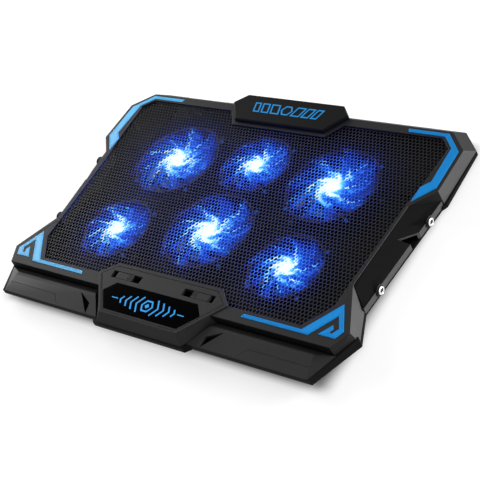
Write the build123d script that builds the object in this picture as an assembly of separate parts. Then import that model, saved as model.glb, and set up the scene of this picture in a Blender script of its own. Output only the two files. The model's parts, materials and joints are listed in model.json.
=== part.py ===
from build123d import *
import math
import os

# A laptop cooling pad, in millimetres. It is drawn about its deck: x from the centre line,
# y from the front edge of the deck, z up from the deck's top face. Outlines list the right
# half from the rear to the front, and mirrored() adds the left half.

# ---- deck, the plane that the laptop lies on
DECK_HALF_WIDTH = 200.4
DECK_DEPTH = 242.8
CORNER_CUT = 20.2          # legs of the chamfered rear corners
REAR_WING_FRONT_Y = 173.6  # where the rear wings stop
WAIST_REAR_Y = 153.0
WAIST_REAR_INSET = 17.9    # waist behind the wing's outer edge
WAIST_FRONT_Y = 63.0
WAIST_FRONT_INSET = 22.9
WING_SPLAY_LENGTH = 13.0   # stretch over which the front wing leaves the waist, at the seam
FRONT_WING_Y = 18.2        # the front wing's outermost point
FRONT_CORNER_INSET = 8.9
DECK_PLATE = 2.5
FRAME_STRIP = 3.4          # width of the frame beside the mesh

# ---- case
SHELL_DEPTH = 16.0         # deck top to the seam with the pan
PAN_DEPTH = 4.0            # seam to the underside
REAR_LEAN = 15.9           # how far the rear wall leans out at the seam
SIDE_LEAN = 0.6
WALL = 2.4
PAN_WALL = 3.0
PAN_FLOOR = 2.0
PAN_FLARE = 2.4            # pan beyond the shell at the wings
APRON_REACH = 27.8         # pan in front of the deck's edge, under the lips
APRON_RIM_Z = -9.5         # top of the pan's front rim
APRON_BOTTOM_Z = -14.5     # underside at the very front
APRON_CORNER_INSET = 14.8
FIT = 0.3                  # gap between pieces that don't touch

# ---- side skirts
SKIRT_EDGE_Z = -11.7       # lower edge of the sloping face
SKIRT_EDGE_DROP = 0.5      # step from the deck down to the sloping face
SKIRT_REAR_OUTSET = 16.4   # skirt's foot outside the waist, at the rear
SKIRT_FRONT_OUTSET = 14.3
SKIRT_WALL = 2.0
NOTCH_Y = 120.0            # inner point of the notch in the skirt
NOTCH_LENGTH = 15.0
NOTCH_DEPTH = 9.0

# ---- skirt screws with ring heads
RING_Y = (151.5, 73.0)
RING_Z = -14.2
RING_RADIUS = 4.6
RING_THICKNESS = 2.0
RING_SOCKET_RADIUS = 2.2
RING_SHANK_RADIUS = 1.4
RING_SHANK_LENGTH = 13.0
RING_PAD_RADIUS = 5.2
RING_SEAT = 0.5            # ring's back beyond the skirt's foot
SKIRT_RIB_SET = 6.5        # rib behind the skirt's foot
SKIRT_RIB = (8.0, 8.0, 3.4)  # its length, width and height above the screw

# ---- mesh panel
MESH_SINK = 1.5            # mesh below the deck's top
MESH_THICKNESS = 1.0
MESH_LEDGE = 1.2           # rebate that holds the mesh's edge
MESH_PLAY = 0.2            # gap between the mesh's edge and the rebate
MESH_HOLE = 24.5           # opening's width across its flats
MESH_PITCH = 30.0
MESH_BORDER = 3.0          # closed strip round the openings
MESH_LEAST_OPENING = 0.12  # share of a whole opening that is worth cutting at the border
MESH_FRONT_Y = 13.2
MESH_REAR_MARGIN = 9.0

# ---- fans: centre x, centre y; the side ones are mirrored
LARGE_FAN_CENTRES = ((94.0, 165.0), (-94.0, 165.0), (0.0, 89.0))
SMALL_FAN_CENTRES = ((102.5, 69.0), (-102.5, 69.0), (0.0, 174.0))
LARGE_BLADE_RADIUS = 42.0
SMALL_BLADE_RADIUS = 33.0
LARGE_HUB_RADIUS = 17.0
SMALL_HUB_RADIUS = 14.0
BLADE_GAP = 1.3            # blade tip to frame
FAN_RING_WALL = 2.0
FAN_HEIGHT = 13.0
FAN_BASE = 1.8
BLADE_COUNT = 9
BLADE_THICKNESS = 1.1
BLADE_SWEEP = 24.0         # degrees that the tip leads the root
BLADE_PITCH_ROOT = 42.0
BLADE_PITCH_TIP = 28.0
STRUT_WIDTH = 4.0
STRUT_COUNT = 4
EAR_RADIUS = 3.8
EAR_HEIGHT = 3.0
EAR_REACH = 2.6            # ear's centre beyond the ring
HUB_WALL = 1.5
SHAFT_RADIUS = 1.0
SHAFT_PLAY = 0.05
BEARING_RADIUS = 2.1
BEARING_BOSS_RADIUS = 3.3
FAN_SCREW_RADIUS = 1.2
FAN_SCREW_HEAD_RADIUS = 2.2
LED_RADIUS = 1.5
LED_LENGTH = 5.0
LEDS_PER_FAN = 4

# ---- front module
MODULE_REAR_Y = 28.5
MODULE_REAR_HALF = 62.0
MODULE_WIDE_Y = 13.3
MODULE_WIDE_HALF = 78.5
MODULE_FRONT_Y = -26.0
MODULE_FRONT_HALF = 47.0
MODULE_RISE = 0.8
MODULE_PLATE = 2.0
MODULE_LIP = 3.4           # rim that lies on the deck
MODULE_SLOPE = 5.9         # front face's lean, down to the pan
MODULE_SPREAD = 4.5        # side facets' lean
WINDOW_MARGIN_REAR = 21.5
WINDOW_MARGIN_FRONT = 4.2
WINDOW_REAR_HALF = 49.0
WINDOW_WIDE_HALF = 58.7
WINDOW_WIDE_Y = -3.8
WINDOW_FRONT_HALF = 44.2
WINDOW_THICKNESS = 1.6
WINDOW_LEDGE = 1.5
WINDOW_SEAT = 1.2          # thickness of the ledge
WINDOW_BORDER = 2.0        # ledge's reach outside the window
LIGHT_BOARD_DROP = 3.2
LIGHT_BOARD_THICKNESS = 1.6

# ---- flip-up stoppers in the module
SLOT_INNER_X = 26.0
SLOT_OUTER_X = 61.5
SLOT_FRONT_Y = 11.7
SLOT_WIDTH = 7.5
STOPPER_INNER_X = 36.0
STOPPER_THICKNESS = 2.6
STOPPER_PIVOT_X = 55.2
STOPPER_BARREL = 1.6
STOPPER_PIN_RADIUS = 0.8
STOPPER_SINK = 0.2
TRAY_DEPTH = 7.0
TRAY_WALL = 1.2
CHEEK = 2.0

# ---- rear badge plate
BADGE_REAR_Y = 255.3
BADGE_REAR_HALF = 57.9
BADGE_WIDE_Y = 242.5
BADGE_WIDE_HALF = 70.0
BADGE_FRONT_Y = 220.3
BADGE_FRONT_HALF = 53.7
BADGE_RISE = 4.0
BADGE_BEVEL = 1.2
BADGE_TRIM = 4.0           # frame between the badge and the mesh
BADGE_GROOVE = 0.6

# ---- inlays
INLAY_DEPTH = 1.0
INLAY_RISE = 0.3
INLAY_GAP = 0.1

# ---- lips on the apron
LIP_RIDGE_Y = -6.5
LIP_RIDGE_Z = -5.0
LIP_SHOULDER_Y = -9.6
LIP_SHOULDER_Z = -5.3
LIP_FRONT_Z = -9.1
LIP_FRONT_SET = 0.2
LIP_END_SLOPE = 17.0       # run of the lip's sloping end
LIP_CORNER_SET = 4.0

# ---- kickstand legs under the rear
LEG_X = 168.0
LEG_WIDTH = 22.0
LEG_THICKNESS = 3.6
LEG_PIVOT_Y = 233.5
LEG_LENGTH = 56.0          # pivot to the end of the tip
LEG_TIP = 4.0
LEG_BARREL = 2.2
LEG_PIN_RADIUS = 1.25
LEG_GRIP = 1.2
LEG_ROOM = 0.6
POCKET_WALL = 1.5
POCKET_DEPTH = 5.0

# ---- feet, screws and bosses
FOOT_RADIUS = 8.0
FOOT_HEIGHT = 4.0
FOOT_SPIGOT_RADIUS = 2.9
FOOT_CENTRES = ((155.0, 30.0), (120.0, 238.0))
BOSS_RADIUS = 3.4
PILOT_RADIUS = 1.3
SCREW_SHANK_RADIUS = 1.2
SCREW_HEAD_RADIUS = 2.8
SCREW_HEAD = 1.2
SCREW_LENGTH = 9.0
BOSS_CENTRES = ((190.0, 205.0), (80.0, 239.0), (188.5, 24.0), (120.0, 6.2))
COVER_SCREW = (30.0, MODULE_FRONT_Y + 5.0)

# ---- electronics and rear controls, left of the centre seen from the front
BAY_LEFT = -152.0
BAY_RIGHT = -98.0
PANEL_Y = 249.0            # outer face of the port panel
PANEL_THICKNESS = 2.0
PANEL_TOP_Z = -7.0
BOARD_DEPTH = 24.0
BOARD_THICKNESS = 1.6
BOARD_STANDOFF = 2.0
SOCKET_X = (-142.0, -125.0)
SOCKET_WIDTH = 13.1
SOCKET_HEIGHT = 5.7
SOCKET_LENGTH = 14.0
SOCKET_SHEET = 0.4
TONGUE_THICKNESS = 1.8
DIAL_X = -110.5
DIAL_RADIUS = 6.5
DIAL_THICKNESS = 3.0
DIAL_PROUD = 2.2
DIAL_SHAFT_RADIUS = 1.5
DIAL_BASE_HEIGHT = 2.6

# ---- values that follow from the sizes above
FLOOR_Z = -SHELL_DEPTH - PAN_DEPTH
FLOOR_TOP_Z = FLOOR_Z + PAN_FLOOR
FAN_TOP_Z = FLOOR_TOP_Z + FAN_HEIGHT
REAR_Y = DECK_DEPTH + REAR_LEAN
FRONT_Y = MODULE_FRONT_Y - MODULE_SLOPE - PAN_WALL / 2
WAIST_REAR_HALF = DECK_HALF_WIDTH - WAIST_REAR_INSET
WAIST_FRONT_HALF = DECK_HALF_WIDTH - WAIST_FRONT_INSET
MODULE_TOP_Z = MODULE_RISE
TO_ROW = Location((0, -(REAR_Y + FRONT_Y) / 2, FOOT_HEIGHT - FLOOR_Z))
EPS = 0.01


# ---------------------------------------------------------------- geometry helpers
def mirrored(points):
    """A closed outline from its right half and the left half that mirrors it."""
    return list(points) + [(-x, y) for x, y in reversed(points)]


def inset(points, distance):
    """An outline with every side moved inwards by a distance, or outwards if negative."""
    pairs = list(zip(points, points[1:] + points[:1]))
    turn = math.copysign(1.0, sum(ax * by - bx * ay for (ax, ay), (bx, by) in pairs))
    normals = []
    for (ax, ay), (bx, by) in pairs:
        length = math.hypot(bx - ax, by - ay)
        normals.append((-turn * (by - ay) / length, turn * (bx - ax) / length))
    moved = []
    for (x, y), (mx, my), (nx, ny) in zip(points, normals[-1:] + normals[:-1], normals):
        scale = distance / (1.0 + mx * nx + my * ny)
        moved.append((x + scale * (mx + nx), y + scale * (my + ny)))
    return moved


def slab(points, low, high):
    """A prism over an outline, between two heights."""
    face = Face(Wire.make_polygon([(x, y, low) for x, y in points], close=True))
    return extrude(face, amount=high - low, dir=(0, 0, 1))


def frustum(lower, low, upper, high):
    """A solid with flat facets between two outlines that have as many corners."""
    wires = [
        Wire.make_polygon([(x, y, low) for x, y in lower], close=True),
        Wire.make_polygon([(x, y, high) for x, y in upper], close=True),
    ]
    return Part() + Solid.make_loft(wires, ruled=True)


def block(x, y, z):
    """A box from its ranges along x, y and z."""
    size = [high - low for low, high in (x, y, z)]
    return Pos(*[(low + high) / 2 for low, high in (x, y, z)]) * Box(*size)


def rod(x, y, low, high, radius):
    """An upright cylinder between two heights."""
    return Pos(x, y, (low + high) / 2) * Cylinder(radius, high - low)


def rod_along_x(start, end, y, z, radius):
    """A cylinder along x."""
    return Pos((start + end) / 2, y, z) * Rot(0, 90, 0) * Cylinder(radius, abs(end - start))


def rod_along_y(x, start, end, z, radius):
    """A cylinder along y."""
    return Pos(x, (start + end) / 2, z) * Rot(90, 0, 0) * Cylinder(radius, abs(end - start))


def along(start, end, x):
    """The y of the line from start to end at an x."""
    return start[1] + (end[1] - start[1]) * (x - start[0]) / (end[0] - start[0])


def save(name, shape):
    """Write one node, moved from the deck frame to the part's frame."""
    solids = [solid.moved(TO_ROW) for solid in shape.solids()]
    node = solids[0] if len(solids) == 1 else Compound(solids)
    export_step(node, f"parts/{name}.step")


def save_pair(name, right):
    """Write a right-hand piece and its mirror image."""
    save(f"{name}_right", right)
    save(f"{name}_left", mirror(right, about=Plane.YZ))


# ---------------------------------------------------------------- shared outlines
def deck_outline():
    """The deck's top edge."""
    return mirrored([
        (DECK_HALF_WIDTH - CORNER_CUT, DECK_DEPTH),
        (DECK_HALF_WIDTH, DECK_DEPTH - CORNER_CUT),
        (DECK_HALF_WIDTH, REAR_WING_FRONT_Y),
        (WAIST_REAR_HALF, WAIST_REAR_Y),
        (WAIST_FRONT_HALF, WAIST_FRONT_Y),
        (WAIST_FRONT_HALF + 0.6, WAIST_FRONT_Y - 1.2),
        (DECK_HALF_WIDTH, FRONT_WING_Y),
        (DECK_HALF_WIDTH - FRONT_CORNER_INSET, 0.0),
    ])


def seam_outline():
    """The shell's lower edge, corner for corner with the deck's."""
    return mirrored([
        (DECK_HALF_WIDTH - CORNER_CUT, REAR_Y),
        (DECK_HALF_WIDTH + SIDE_LEAN, REAR_Y - CORNER_CUT - SIDE_LEAN),
        (DECK_HALF_WIDTH + SIDE_LEAN, REAR_WING_FRONT_Y + 1.0),
        (WAIST_REAR_HALF, WAIST_REAR_Y),
        (WAIST_FRONT_HALF, WAIST_FRONT_Y),
        (WAIST_FRONT_HALF + WING_SPLAY_LENGTH, WAIST_FRONT_Y - WING_SPLAY_LENGTH),
        (DECK_HALF_WIDTH + PAN_FLARE, FRONT_WING_Y + PAN_FLARE),
        (DECK_HALF_WIDTH - FRONT_CORNER_INSET + PAN_FLARE, 0.0),
    ])


def skirt_foot(y):
    """The x of the skirts' outer wall at a y."""
    share = (WAIST_REAR_Y - y) / (WAIST_REAR_Y - WAIST_FRONT_Y)
    rear = WAIST_REAR_HALF + SKIRT_REAR_OUTSET
    front = WAIST_FRONT_HALF + SKIRT_FRONT_OUTSET
    return rear + (front - rear) * share


def pan_outline():
    """The pan's outer edge; the module's and lips' apron is its front."""
    return mirrored([
        (DECK_HALF_WIDTH - CORNER_CUT + SIDE_LEAN, REAR_Y),
        (DECK_HALF_WIDTH + SIDE_LEAN * 2, REAR_Y - CORNER_CUT - SIDE_LEAN),
        (DECK_HALF_WIDTH + PAN_FLARE + SIDE_LEAN, REAR_WING_FRONT_Y + 1.4),
        (skirt_foot(WAIST_REAR_Y + WAIST_REAR_INSET), REAR_WING_FRONT_Y - 4.0),
        (skirt_foot(WAIST_FRONT_Y - WING_SPLAY_LENGTH), WAIST_FRONT_Y - WING_SPLAY_LENGTH),
        (DECK_HALF_WIDTH + PAN_FLARE + SIDE_LEAN, FRONT_WING_Y + PAN_FLARE),
        (DECK_HALF_WIDTH - APRON_CORNER_INSET, -APRON_REACH),
        (MODULE_FRONT_HALF + MODULE_SPREAD + 8.0, -APRON_REACH),
        (MODULE_FRONT_HALF + MODULE_SPREAD + 3.0, FRONT_Y),
    ])


def module_outline():
    """The module's top edge."""
    return mirrored([
        (MODULE_REAR_HALF, MODULE_REAR_Y),
        (MODULE_WIDE_HALF, MODULE_WIDE_Y),
        (MODULE_FRONT_HALF, MODULE_FRONT_Y),
    ])


def badge_outline():
    """The badge plate's edge."""
    return mirrored([
        (BADGE_REAR_HALF, BADGE_REAR_Y),
        (BADGE_WIDE_HALF, BADGE_WIDE_Y),
        (BADGE_FRONT_HALF, BADGE_FRONT_Y),
    ])


def window_outline():
    """The display window's edge."""
    return mirrored([
        (WINDOW_REAR_HALF, MODULE_REAR_Y - WINDOW_MARGIN_REAR),
        (WINDOW_WIDE_HALF, WINDOW_WIDE_Y),
        (WINDOW_FRONT_HALF, MODULE_FRONT_Y + WINDOW_MARGIN_FRONT),
    ])


def mesh_opening():
    """The opening in the deck that the mesh fills."""
    rear = DECK_DEPTH - MESH_REAR_MARGIN
    side = DECK_HALF_WIDTH
    notch = inset(badge_outline(), -BADGE_TRIM)
    module = inset(module_outline(), -EPS)
    notch_wide_x = notch[1][0] - (notch[1][1] - rear) * (notch[1][0] - notch[2][0]) / (
        notch[1][1] - notch[2][1])
    return mirrored([
        (notch[2][0], notch[2][1]),
        (notch_wide_x, rear),
        (side - 26.4, rear),
        (side - 14.9, rear - 11.3),
        (side - 17.2, REAR_WING_FRONT_Y + 11.4),
        (WAIST_REAR_HALF - FRAME_STRIP, WAIST_REAR_Y),
        (WAIST_FRONT_HALF - FRAME_STRIP, WAIST_FRONT_Y),
        (WAIST_FRONT_HALF - FRAME_STRIP - 1.0, WAIST_FRONT_Y - 24.0),
        (side - 45.7, MESH_FRONT_Y),
        (module[1][0] + 0.2, MESH_FRONT_Y),
        (module[0][0], MODULE_REAR_Y),
    ])


def rear_inlay_outline():
    """The rear corner's inlay: a bar, a chamfer and a spear that ends at the waist."""
    corner_x, corner_y = DECK_HALF_WIDTH, DECK_DEPTH
    tip_y = REAR_WING_FRONT_Y - 15.6
    return [
        (corner_x - 62.4, corner_y - 6.6),
        (corner_x - 24.8, corner_y - 6.6),
        (corner_x - 12.4, corner_y - 19.2),
        (corner_x - 11.6, REAR_WING_FRONT_Y + 9.6),
        (corner_x - 18.4, REAR_WING_FRONT_Y + 1.6),
        (corner_x - 18.8, tip_y),
        (corner_x - 3.6, REAR_WING_FRONT_Y + 3.2),
        (corner_x - 3.8, corner_y - 22.0),
        (corner_x - 22.4, corner_y - 2.8),
        (corner_x - 64.0, corner_y - 2.8),
    ]


def front_inlay_outline():
    """The front corner's inlay: a bar that rises to a peak and hooks back inside."""
    corner_x, corner_y = DECK_HALF_WIDTH, FRONT_WING_Y
    bar_low, bar_high = 6.5, 10.2
    return [
        (corner_x - 104.0, bar_low),
        (corner_x - 34.6, bar_low),
        (corner_x - 17.9, corner_y + 12.6),
        (corner_x - 10.9, corner_y + 0.9),
        (corner_x - 14.5, corner_y - 4.8),
        (corner_x - 17.5, corner_y - 4.8),
        (corner_x - 15.4, corner_y - 0.6),
        (corner_x - 17.9, corner_y + 3.0),
        (corner_x - 26.1, bar_high - 0.7),
        (corner_x - 9.5, bar_high - 0.7),
        (corner_x - 5.5, corner_y - 0.6),
        (corner_x - 19.6, corner_y + 24.3),
        (corner_x - 42.4, bar_high),
        (corner_x - 102.0, bar_high),
    ]


def skirt_plan():
    """The right skirt's quadrilateral in plan: rear inner, rear outer, front outer, front inner."""
    wing_rear = (DECK_HALF_WIDTH, REAR_WING_FRONT_Y)
    waist_rear = (WAIST_REAR_HALF, WAIST_REAR_Y)
    waist_front = (WAIST_FRONT_HALF, WAIST_FRONT_Y)
    splay = (WAIST_FRONT_HALF + WING_SPLAY_LENGTH, WAIST_FRONT_Y - WING_SPLAY_LENGTH)
    rear_x = skirt_foot(WAIST_REAR_Y + WAIST_REAR_INSET)
    front_x = skirt_foot(WAIST_FRONT_Y - WING_SPLAY_LENGTH)
    return [
        waist_rear,
        (rear_x, along(waist_rear, wing_rear, rear_x) - FIT),
        (front_x, along(waist_front, splay, front_x) + FIT),
        (along(waist_front[::-1], waist_rear[::-1], waist_front[1] + FIT), waist_front[1] + FIT),
    ]


# ---------------------------------------------------------------- case
def floor_top_z(y):
    """The highest point of the pan's floor under a boss at a y."""
    return underside_z(y - BOSS_RADIUS) + PAN_FLOOR


def bosses(reach, radius, high=-DECK_PLATE):
    """Upright rods at the places of the case screws, that reach below the pan's floor top."""
    rods = [rod(side * x, y, floor_top_z(y) - reach, high, radius)
            for x, y in BOSS_CENTRES for side in (1, -1)]
    return Part() + rods


def ramp(rise):
    """What lies under the sloping front of the underside, raised by a thickness."""
    start_y = FRONT_WING_Y + PAN_FLARE
    slope = (APRON_BOTTOM_Z - FLOOR_Z) / (start_y - FRONT_Y)
    far = FRONT_Y - 10.0
    profile = [
        (start_y, FLOOR_Z + rise),
        (start_y, FLOOR_Z - 10.0),
        (far, FLOOR_Z - 10.0),
        (far, FLOOR_Z + rise + slope * (start_y - far)),
    ]
    reach = DECK_HALF_WIDTH + 20.0
    face = Face(Wire.make_polygon([(-reach, y, z) for y, z in profile], close=True))
    return extrude(face, amount=2 * reach, dir=(1, 0, 0))


def top_frame():
    """The upper shell: deck plate, leaning walls and screw bosses."""
    outer = frustum(seam_outline(), -SHELL_DEPTH, deck_outline(), 0)
    hollow = frustum(inset(seam_outline(), WALL), -SHELL_DEPTH - EPS,
                     inset(deck_outline(), WALL), -DECK_PLATE)
    frame = outer - hollow
    frame -= slab(mesh_opening(), -DECK_PLATE - 1, 1)
    frame -= slab(inset(mesh_opening(), -MESH_LEDGE), -DECK_PLATE - 1, -MESH_SINK)
    frame -= slab(inset(module_outline(), MODULE_LIP), -SHELL_DEPTH - 1, 1)
    reach = DECK_HALF_WIDTH + 20
    frame -= block((-reach, reach), (-20, FRONT_WING_Y + PAN_FLARE + 1.5),
                   (-SHELL_DEPTH - 1, APRON_RIM_Z))
    frame += bosses(0, BOSS_RADIUS)
    frame -= bosses(1, PILOT_RADIUS, -DECK_PLATE - EPS)
    for outline in (rear_inlay_outline(), front_inlay_outline()):
        groove = slab(inset(outline, -INLAY_GAP), -INLAY_DEPTH, 1)
        frame -= [groove, mirror(groove, about=Plane.YZ)]
    groove_edge = slab(inset(badge_outline(), -BADGE_GROOVE), -INLAY_DEPTH, 1)
    frame -= groove_edge - slab(badge_outline(), -INLAY_DEPTH - 1, 2)
    frame -= block((BAY_LEFT, BAY_RIGHT), (PANEL_Y - PANEL_THICKNESS - FIT, REAR_Y + 10),
                   (-SHELL_DEPTH - 1, PANEL_TOP_Z))
    return frame


def pan_holes():
    """Openings in the pan's floor: intakes, screw holes and foot sockets."""
    cuts = []
    for radius, hub, centres in fan_sets():
        for x, y in centres:
            cuts.append(Pos(x, y, FLOOR_Z) * intake(radius, hub))
            cuts += [rod(ear_x, ear_y, FLOOR_Z - 1, FLOOR_TOP_Z + 1, FAN_SCREW_RADIUS + 0.2)
                     for ear_x, ear_y in ear_centres(x, y, radius)]
    for x, y in (*BOSS_CENTRES, COVER_SCREW):
        for side in (1, -1):
            seat = screw_seat_z(y)
            cuts.append(rod(side * x, y, seat - EPS, seat + 2 * PAN_FLOOR, SCREW_SHANK_RADIUS + FIT))
            cuts.append(rod(side * x, y, FLOOR_Z - 5, seat, SCREW_HEAD_RADIUS + FIT))
    for x, y in FOOT_CENTRES:
        for side in (1, -1):
            cuts.append(rod(side * x, y, FLOOR_Z - 1, FLOOR_TOP_Z + 1, FOOT_SPIGOT_RADIUS + 0.1))
    return cuts


def underside_z(y):
    """The height of the underside at a y."""
    start_y = FRONT_WING_Y + PAN_FLARE
    slope = (APRON_BOTTOM_Z - FLOOR_Z) / (start_y - FRONT_Y)
    return FLOOR_Z + slope * max(0.0, start_y - y)


def screw_seat_z(y):
    """The height of the step on which a case screw's head bears."""
    return underside_z(y) + SCREW_HEAD


def intake(radius, hub):
    """A ring-shaped air intake, parted by ribs, at the origin."""
    rim = Cylinder(radius - 1.0, 6 * PAN_FLOOR)
    ring = Cylinder((radius + hub) / 2 + 1.5, 6 * PAN_FLOOR)
    ring -= Cylinder((radius + hub) / 2 - 1.5, 8 * PAN_FLOOR)
    ribs = [Rot(0, 0, 360 / STRUT_COUNT * k + 45) * Pos(radius / 2, 0, 0)
            * Box(radius + 4, STRUT_WIDTH, 8 * PAN_FLOOR) for k in range(STRUT_COUNT)]
    ribs += [Rot(0, 0, 360 / STRUT_COUNT * k) * Pos(radius / 2, 0, 0)
             * Box(radius + 4, STRUT_WIDTH / 2, 8 * PAN_FLOOR) for k in range(STRUT_COUNT)]
    return rim - Cylinder(hub + 1.0, 8 * PAN_FLOOR) - ring - ribs


def leg_pocket(side):
    """The walls and the space of one kickstand pocket."""
    half = LEG_WIDTH / 2 + LEG_ROOM
    x = (side * LEG_X - half, side * LEG_X + half)
    y = (LEG_PIVOT_Y - LEG_LENGTH - LEG_ROOM, LEG_PIVOT_Y + LEG_BARREL + LEG_ROOM)
    top = FLOOR_Z + POCKET_DEPTH
    walls = block((x[0] - POCKET_WALL, x[1] + POCKET_WALL), (y[0] - POCKET_WALL, y[1] + POCKET_WALL),
                  (FLOOR_Z, top + POCKET_WALL))
    return walls, block(x, y, (FLOOR_Z - 1, top))


def leg_pivot_z():
    """The height of the kickstands' pins."""
    return FLOOR_Z + LEG_BARREL + (POCKET_DEPTH - 2 * LEG_BARREL) / 2


def bottom_pan():
    """The lower tray: floor with intakes, rims, kickstand pockets and skirt ribs."""
    pan = slab(pan_outline(), FLOOR_Z, APRON_RIM_Z)
    seam_back_y = FRONT_WING_Y + PAN_FLARE + 1.5
    reach = DECK_HALF_WIDTH + 20
    pan -= block((-reach, reach), (seam_back_y, REAR_Y + 10), (-SHELL_DEPTH, 0))
    pan -= ramp(0)
    pan -= slab(inset(pan_outline(), PAN_WALL), FLOOR_TOP_Z, 0) - ramp(PAN_FLOOR)
    skirt_zone = inset(skirt_plan(), -FIT)
    skirt_zone[0] = (WAIST_REAR_HALF - PAN_WALL, WAIST_REAR_Y)
    skirt_zone[3] = (WAIST_FRONT_HALF - PAN_WALL, WAIST_FRONT_Y)
    skirt_room = slab(skirt_zone, FLOOR_TOP_Z, 0)
    pan -= [skirt_room, mirror(skirt_room, about=Plane.YZ)]
    for side in (1, -1):
        walls, space = leg_pocket(side)
        pan += walls
        pan -= space
        half = LEG_WIDTH / 2 + LEG_ROOM + POCKET_WALL + 1
        pan -= rod_along_x(side * LEG_X - half, side * LEG_X + half, LEG_PIVOT_Y, leg_pivot_z(),
                           LEG_PIN_RADIUS + 0.02)
        pan += [skirt_rib(y, side) for y in RING_Y]
    pan -= pan_holes()
    return pan


def skirt_rib(y, side):
    """A rib on the floor that takes one ring screw."""
    length, width, height = SKIRT_RIB
    outer = skirt_foot(y) - SKIRT_RIB_SET
    inner = outer - length
    rib = block((inner, outer), (y - width / 2, y + width / 2), (FLOOR_TOP_Z, RING_Z + height))
    rib -= rod_along_x(inner - 1, outer + 1, y, RING_Z, RING_SHANK_RADIUS + 0.05)
    return rib if side > 0 else mirror(rib, about=Plane.YZ)


def skirt_section(inner, outer):
    """The skirt's shell section in the upright plane through two plan points."""
    reach = math.dist(inner, outer)
    step = [(o - i) / reach for i, o in zip(inner, outer)]
    drop = SKIRT_WALL + 0.9

    def at(distance, z):
        return (inner[0] + step[0] * distance, inner[1] + step[1] * distance, z)

    return Wire.make_polygon([
        at(0, -SKIRT_EDGE_DROP),
        at(reach, SKIRT_EDGE_Z),
        at(reach, FLOOR_TOP_Z),
        at(reach - SKIRT_WALL, FLOOR_TOP_Z),
        at(reach - SKIRT_WALL, SKIRT_EDGE_Z - drop / 3),
        at(0, -SKIRT_EDGE_DROP - drop),
    ], close=True)


def side_skirt():
    """The right skirt: a sloping dark cover from the deck's waist to the floor."""
    rear_inner, rear_outer, front_outer, front_inner = skirt_plan()
    wires = [skirt_section(rear_inner, rear_outer), skirt_section(front_inner, front_outer)]
    skirt = Part() + Solid.make_loft(wires, ruled=True)
    tip = (skirt_foot(NOTCH_Y) - NOTCH_DEPTH, NOTCH_Y)
    outer_rear = (tip[0] + NOTCH_DEPTH + 4, NOTCH_Y + NOTCH_LENGTH * 1.4)
    skirt -= slab([tip, outer_rear, (outer_rear[0], NOTCH_Y + 3.5)], FLOOR_Z, 0)
    for y in RING_Y:
        foot = skirt_foot(y)
        pad = rod_along_x(foot - 6.0, foot + RING_SEAT, y, RING_Z, RING_PAD_RADIUS)
        skirt += pad & block((foot - 20, foot + 9), (y - 9, y + 9), (FLOOR_TOP_Z, 0))
        skirt -= rod_along_x(foot - 20, foot + 9, y, RING_Z, RING_SHANK_RADIUS + FIT)
    return skirt


def skirt_screws():
    """Screws with ring heads, two through each skirt."""
    screws = []
    for y in RING_Y:
        face = skirt_foot(y) + RING_SEAT
        screw = rod_along_x(face, face + RING_THICKNESS, y, RING_Z, RING_RADIUS)
        screw -= rod_along_x(face + RING_THICKNESS / 2, face + 2 * RING_THICKNESS, y, RING_Z,
                             RING_SOCKET_RADIUS)
        screw += rod_along_x(face - RING_SHANK_LENGTH, face + 0.5, y, RING_Z, RING_SHANK_RADIUS)
        screws += [screw, mirror(screw, about=Plane.YZ)]
    return Compound(screws)


def mesh_panel():
    """The sheet over the fans, with a staggered grid of hexagonal openings up to its border."""
    edge = inset(mesh_opening(), -(MESH_LEDGE - MESH_PLAY))
    low = -MESH_SINK - MESH_THICKNESS
    field = slab(inset(edge, MESH_BORDER), low, -MESH_SINK)
    openings = [slab(hexagon(x, y), low, -MESH_SINK) for x, y in opening_centres()]
    least = MESH_LEAST_OPENING * max(opening.volume for opening in openings)
    cut = [opening & field for opening in openings]
    return slab(edge, low, -MESH_SINK) - [opening for opening in cut if opening and opening.volume > least]


def hexagon(x, y):
    """A hexagonal opening's corners, two of them along y."""
    radius = MESH_HOLE / math.sqrt(3)
    turns = [math.radians(90 + 60 * k) for k in range(6)]
    return [(x + radius * math.cos(turn), y + radius * math.sin(turn)) for turn in turns]


def opening_centres():
    """Centres of a staggered pattern that reaches past the sheet on all sides."""
    row_pitch = MESH_PITCH * math.sqrt(3) / 2
    rows = int(DECK_DEPTH / 2 / row_pitch) + 1
    columns = int(DECK_HALF_WIDTH / MESH_PITCH) + 1
    middle = (MESH_FRONT_Y + DECK_DEPTH - MESH_REAR_MARGIN) / 2
    return [((column + 0.5 * (row % 2)) * MESH_PITCH, middle + row * row_pitch)
            for row in range(-rows, rows + 1) for column in range(-columns, columns + 1)]


def inlay(outline):
    """A coloured strip that lies in a groove of the deck."""
    return slab(outline, -INLAY_DEPTH, INLAY_RISE)


def rear_badge_plate():
    """The raised plate at the rear, which also closes against the leaning wall."""
    outer = frustum(seam_outline(), -SHELL_DEPTH, deck_outline(), 0)
    plate = slab(badge_outline(), -SHELL_DEPTH, BADGE_RISE - BADGE_BEVEL)
    plate += frustum(badge_outline(), BADGE_RISE - BADGE_BEVEL,
                     inset(badge_outline(), BADGE_BEVEL), BADGE_RISE)
    return plate - outer


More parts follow.
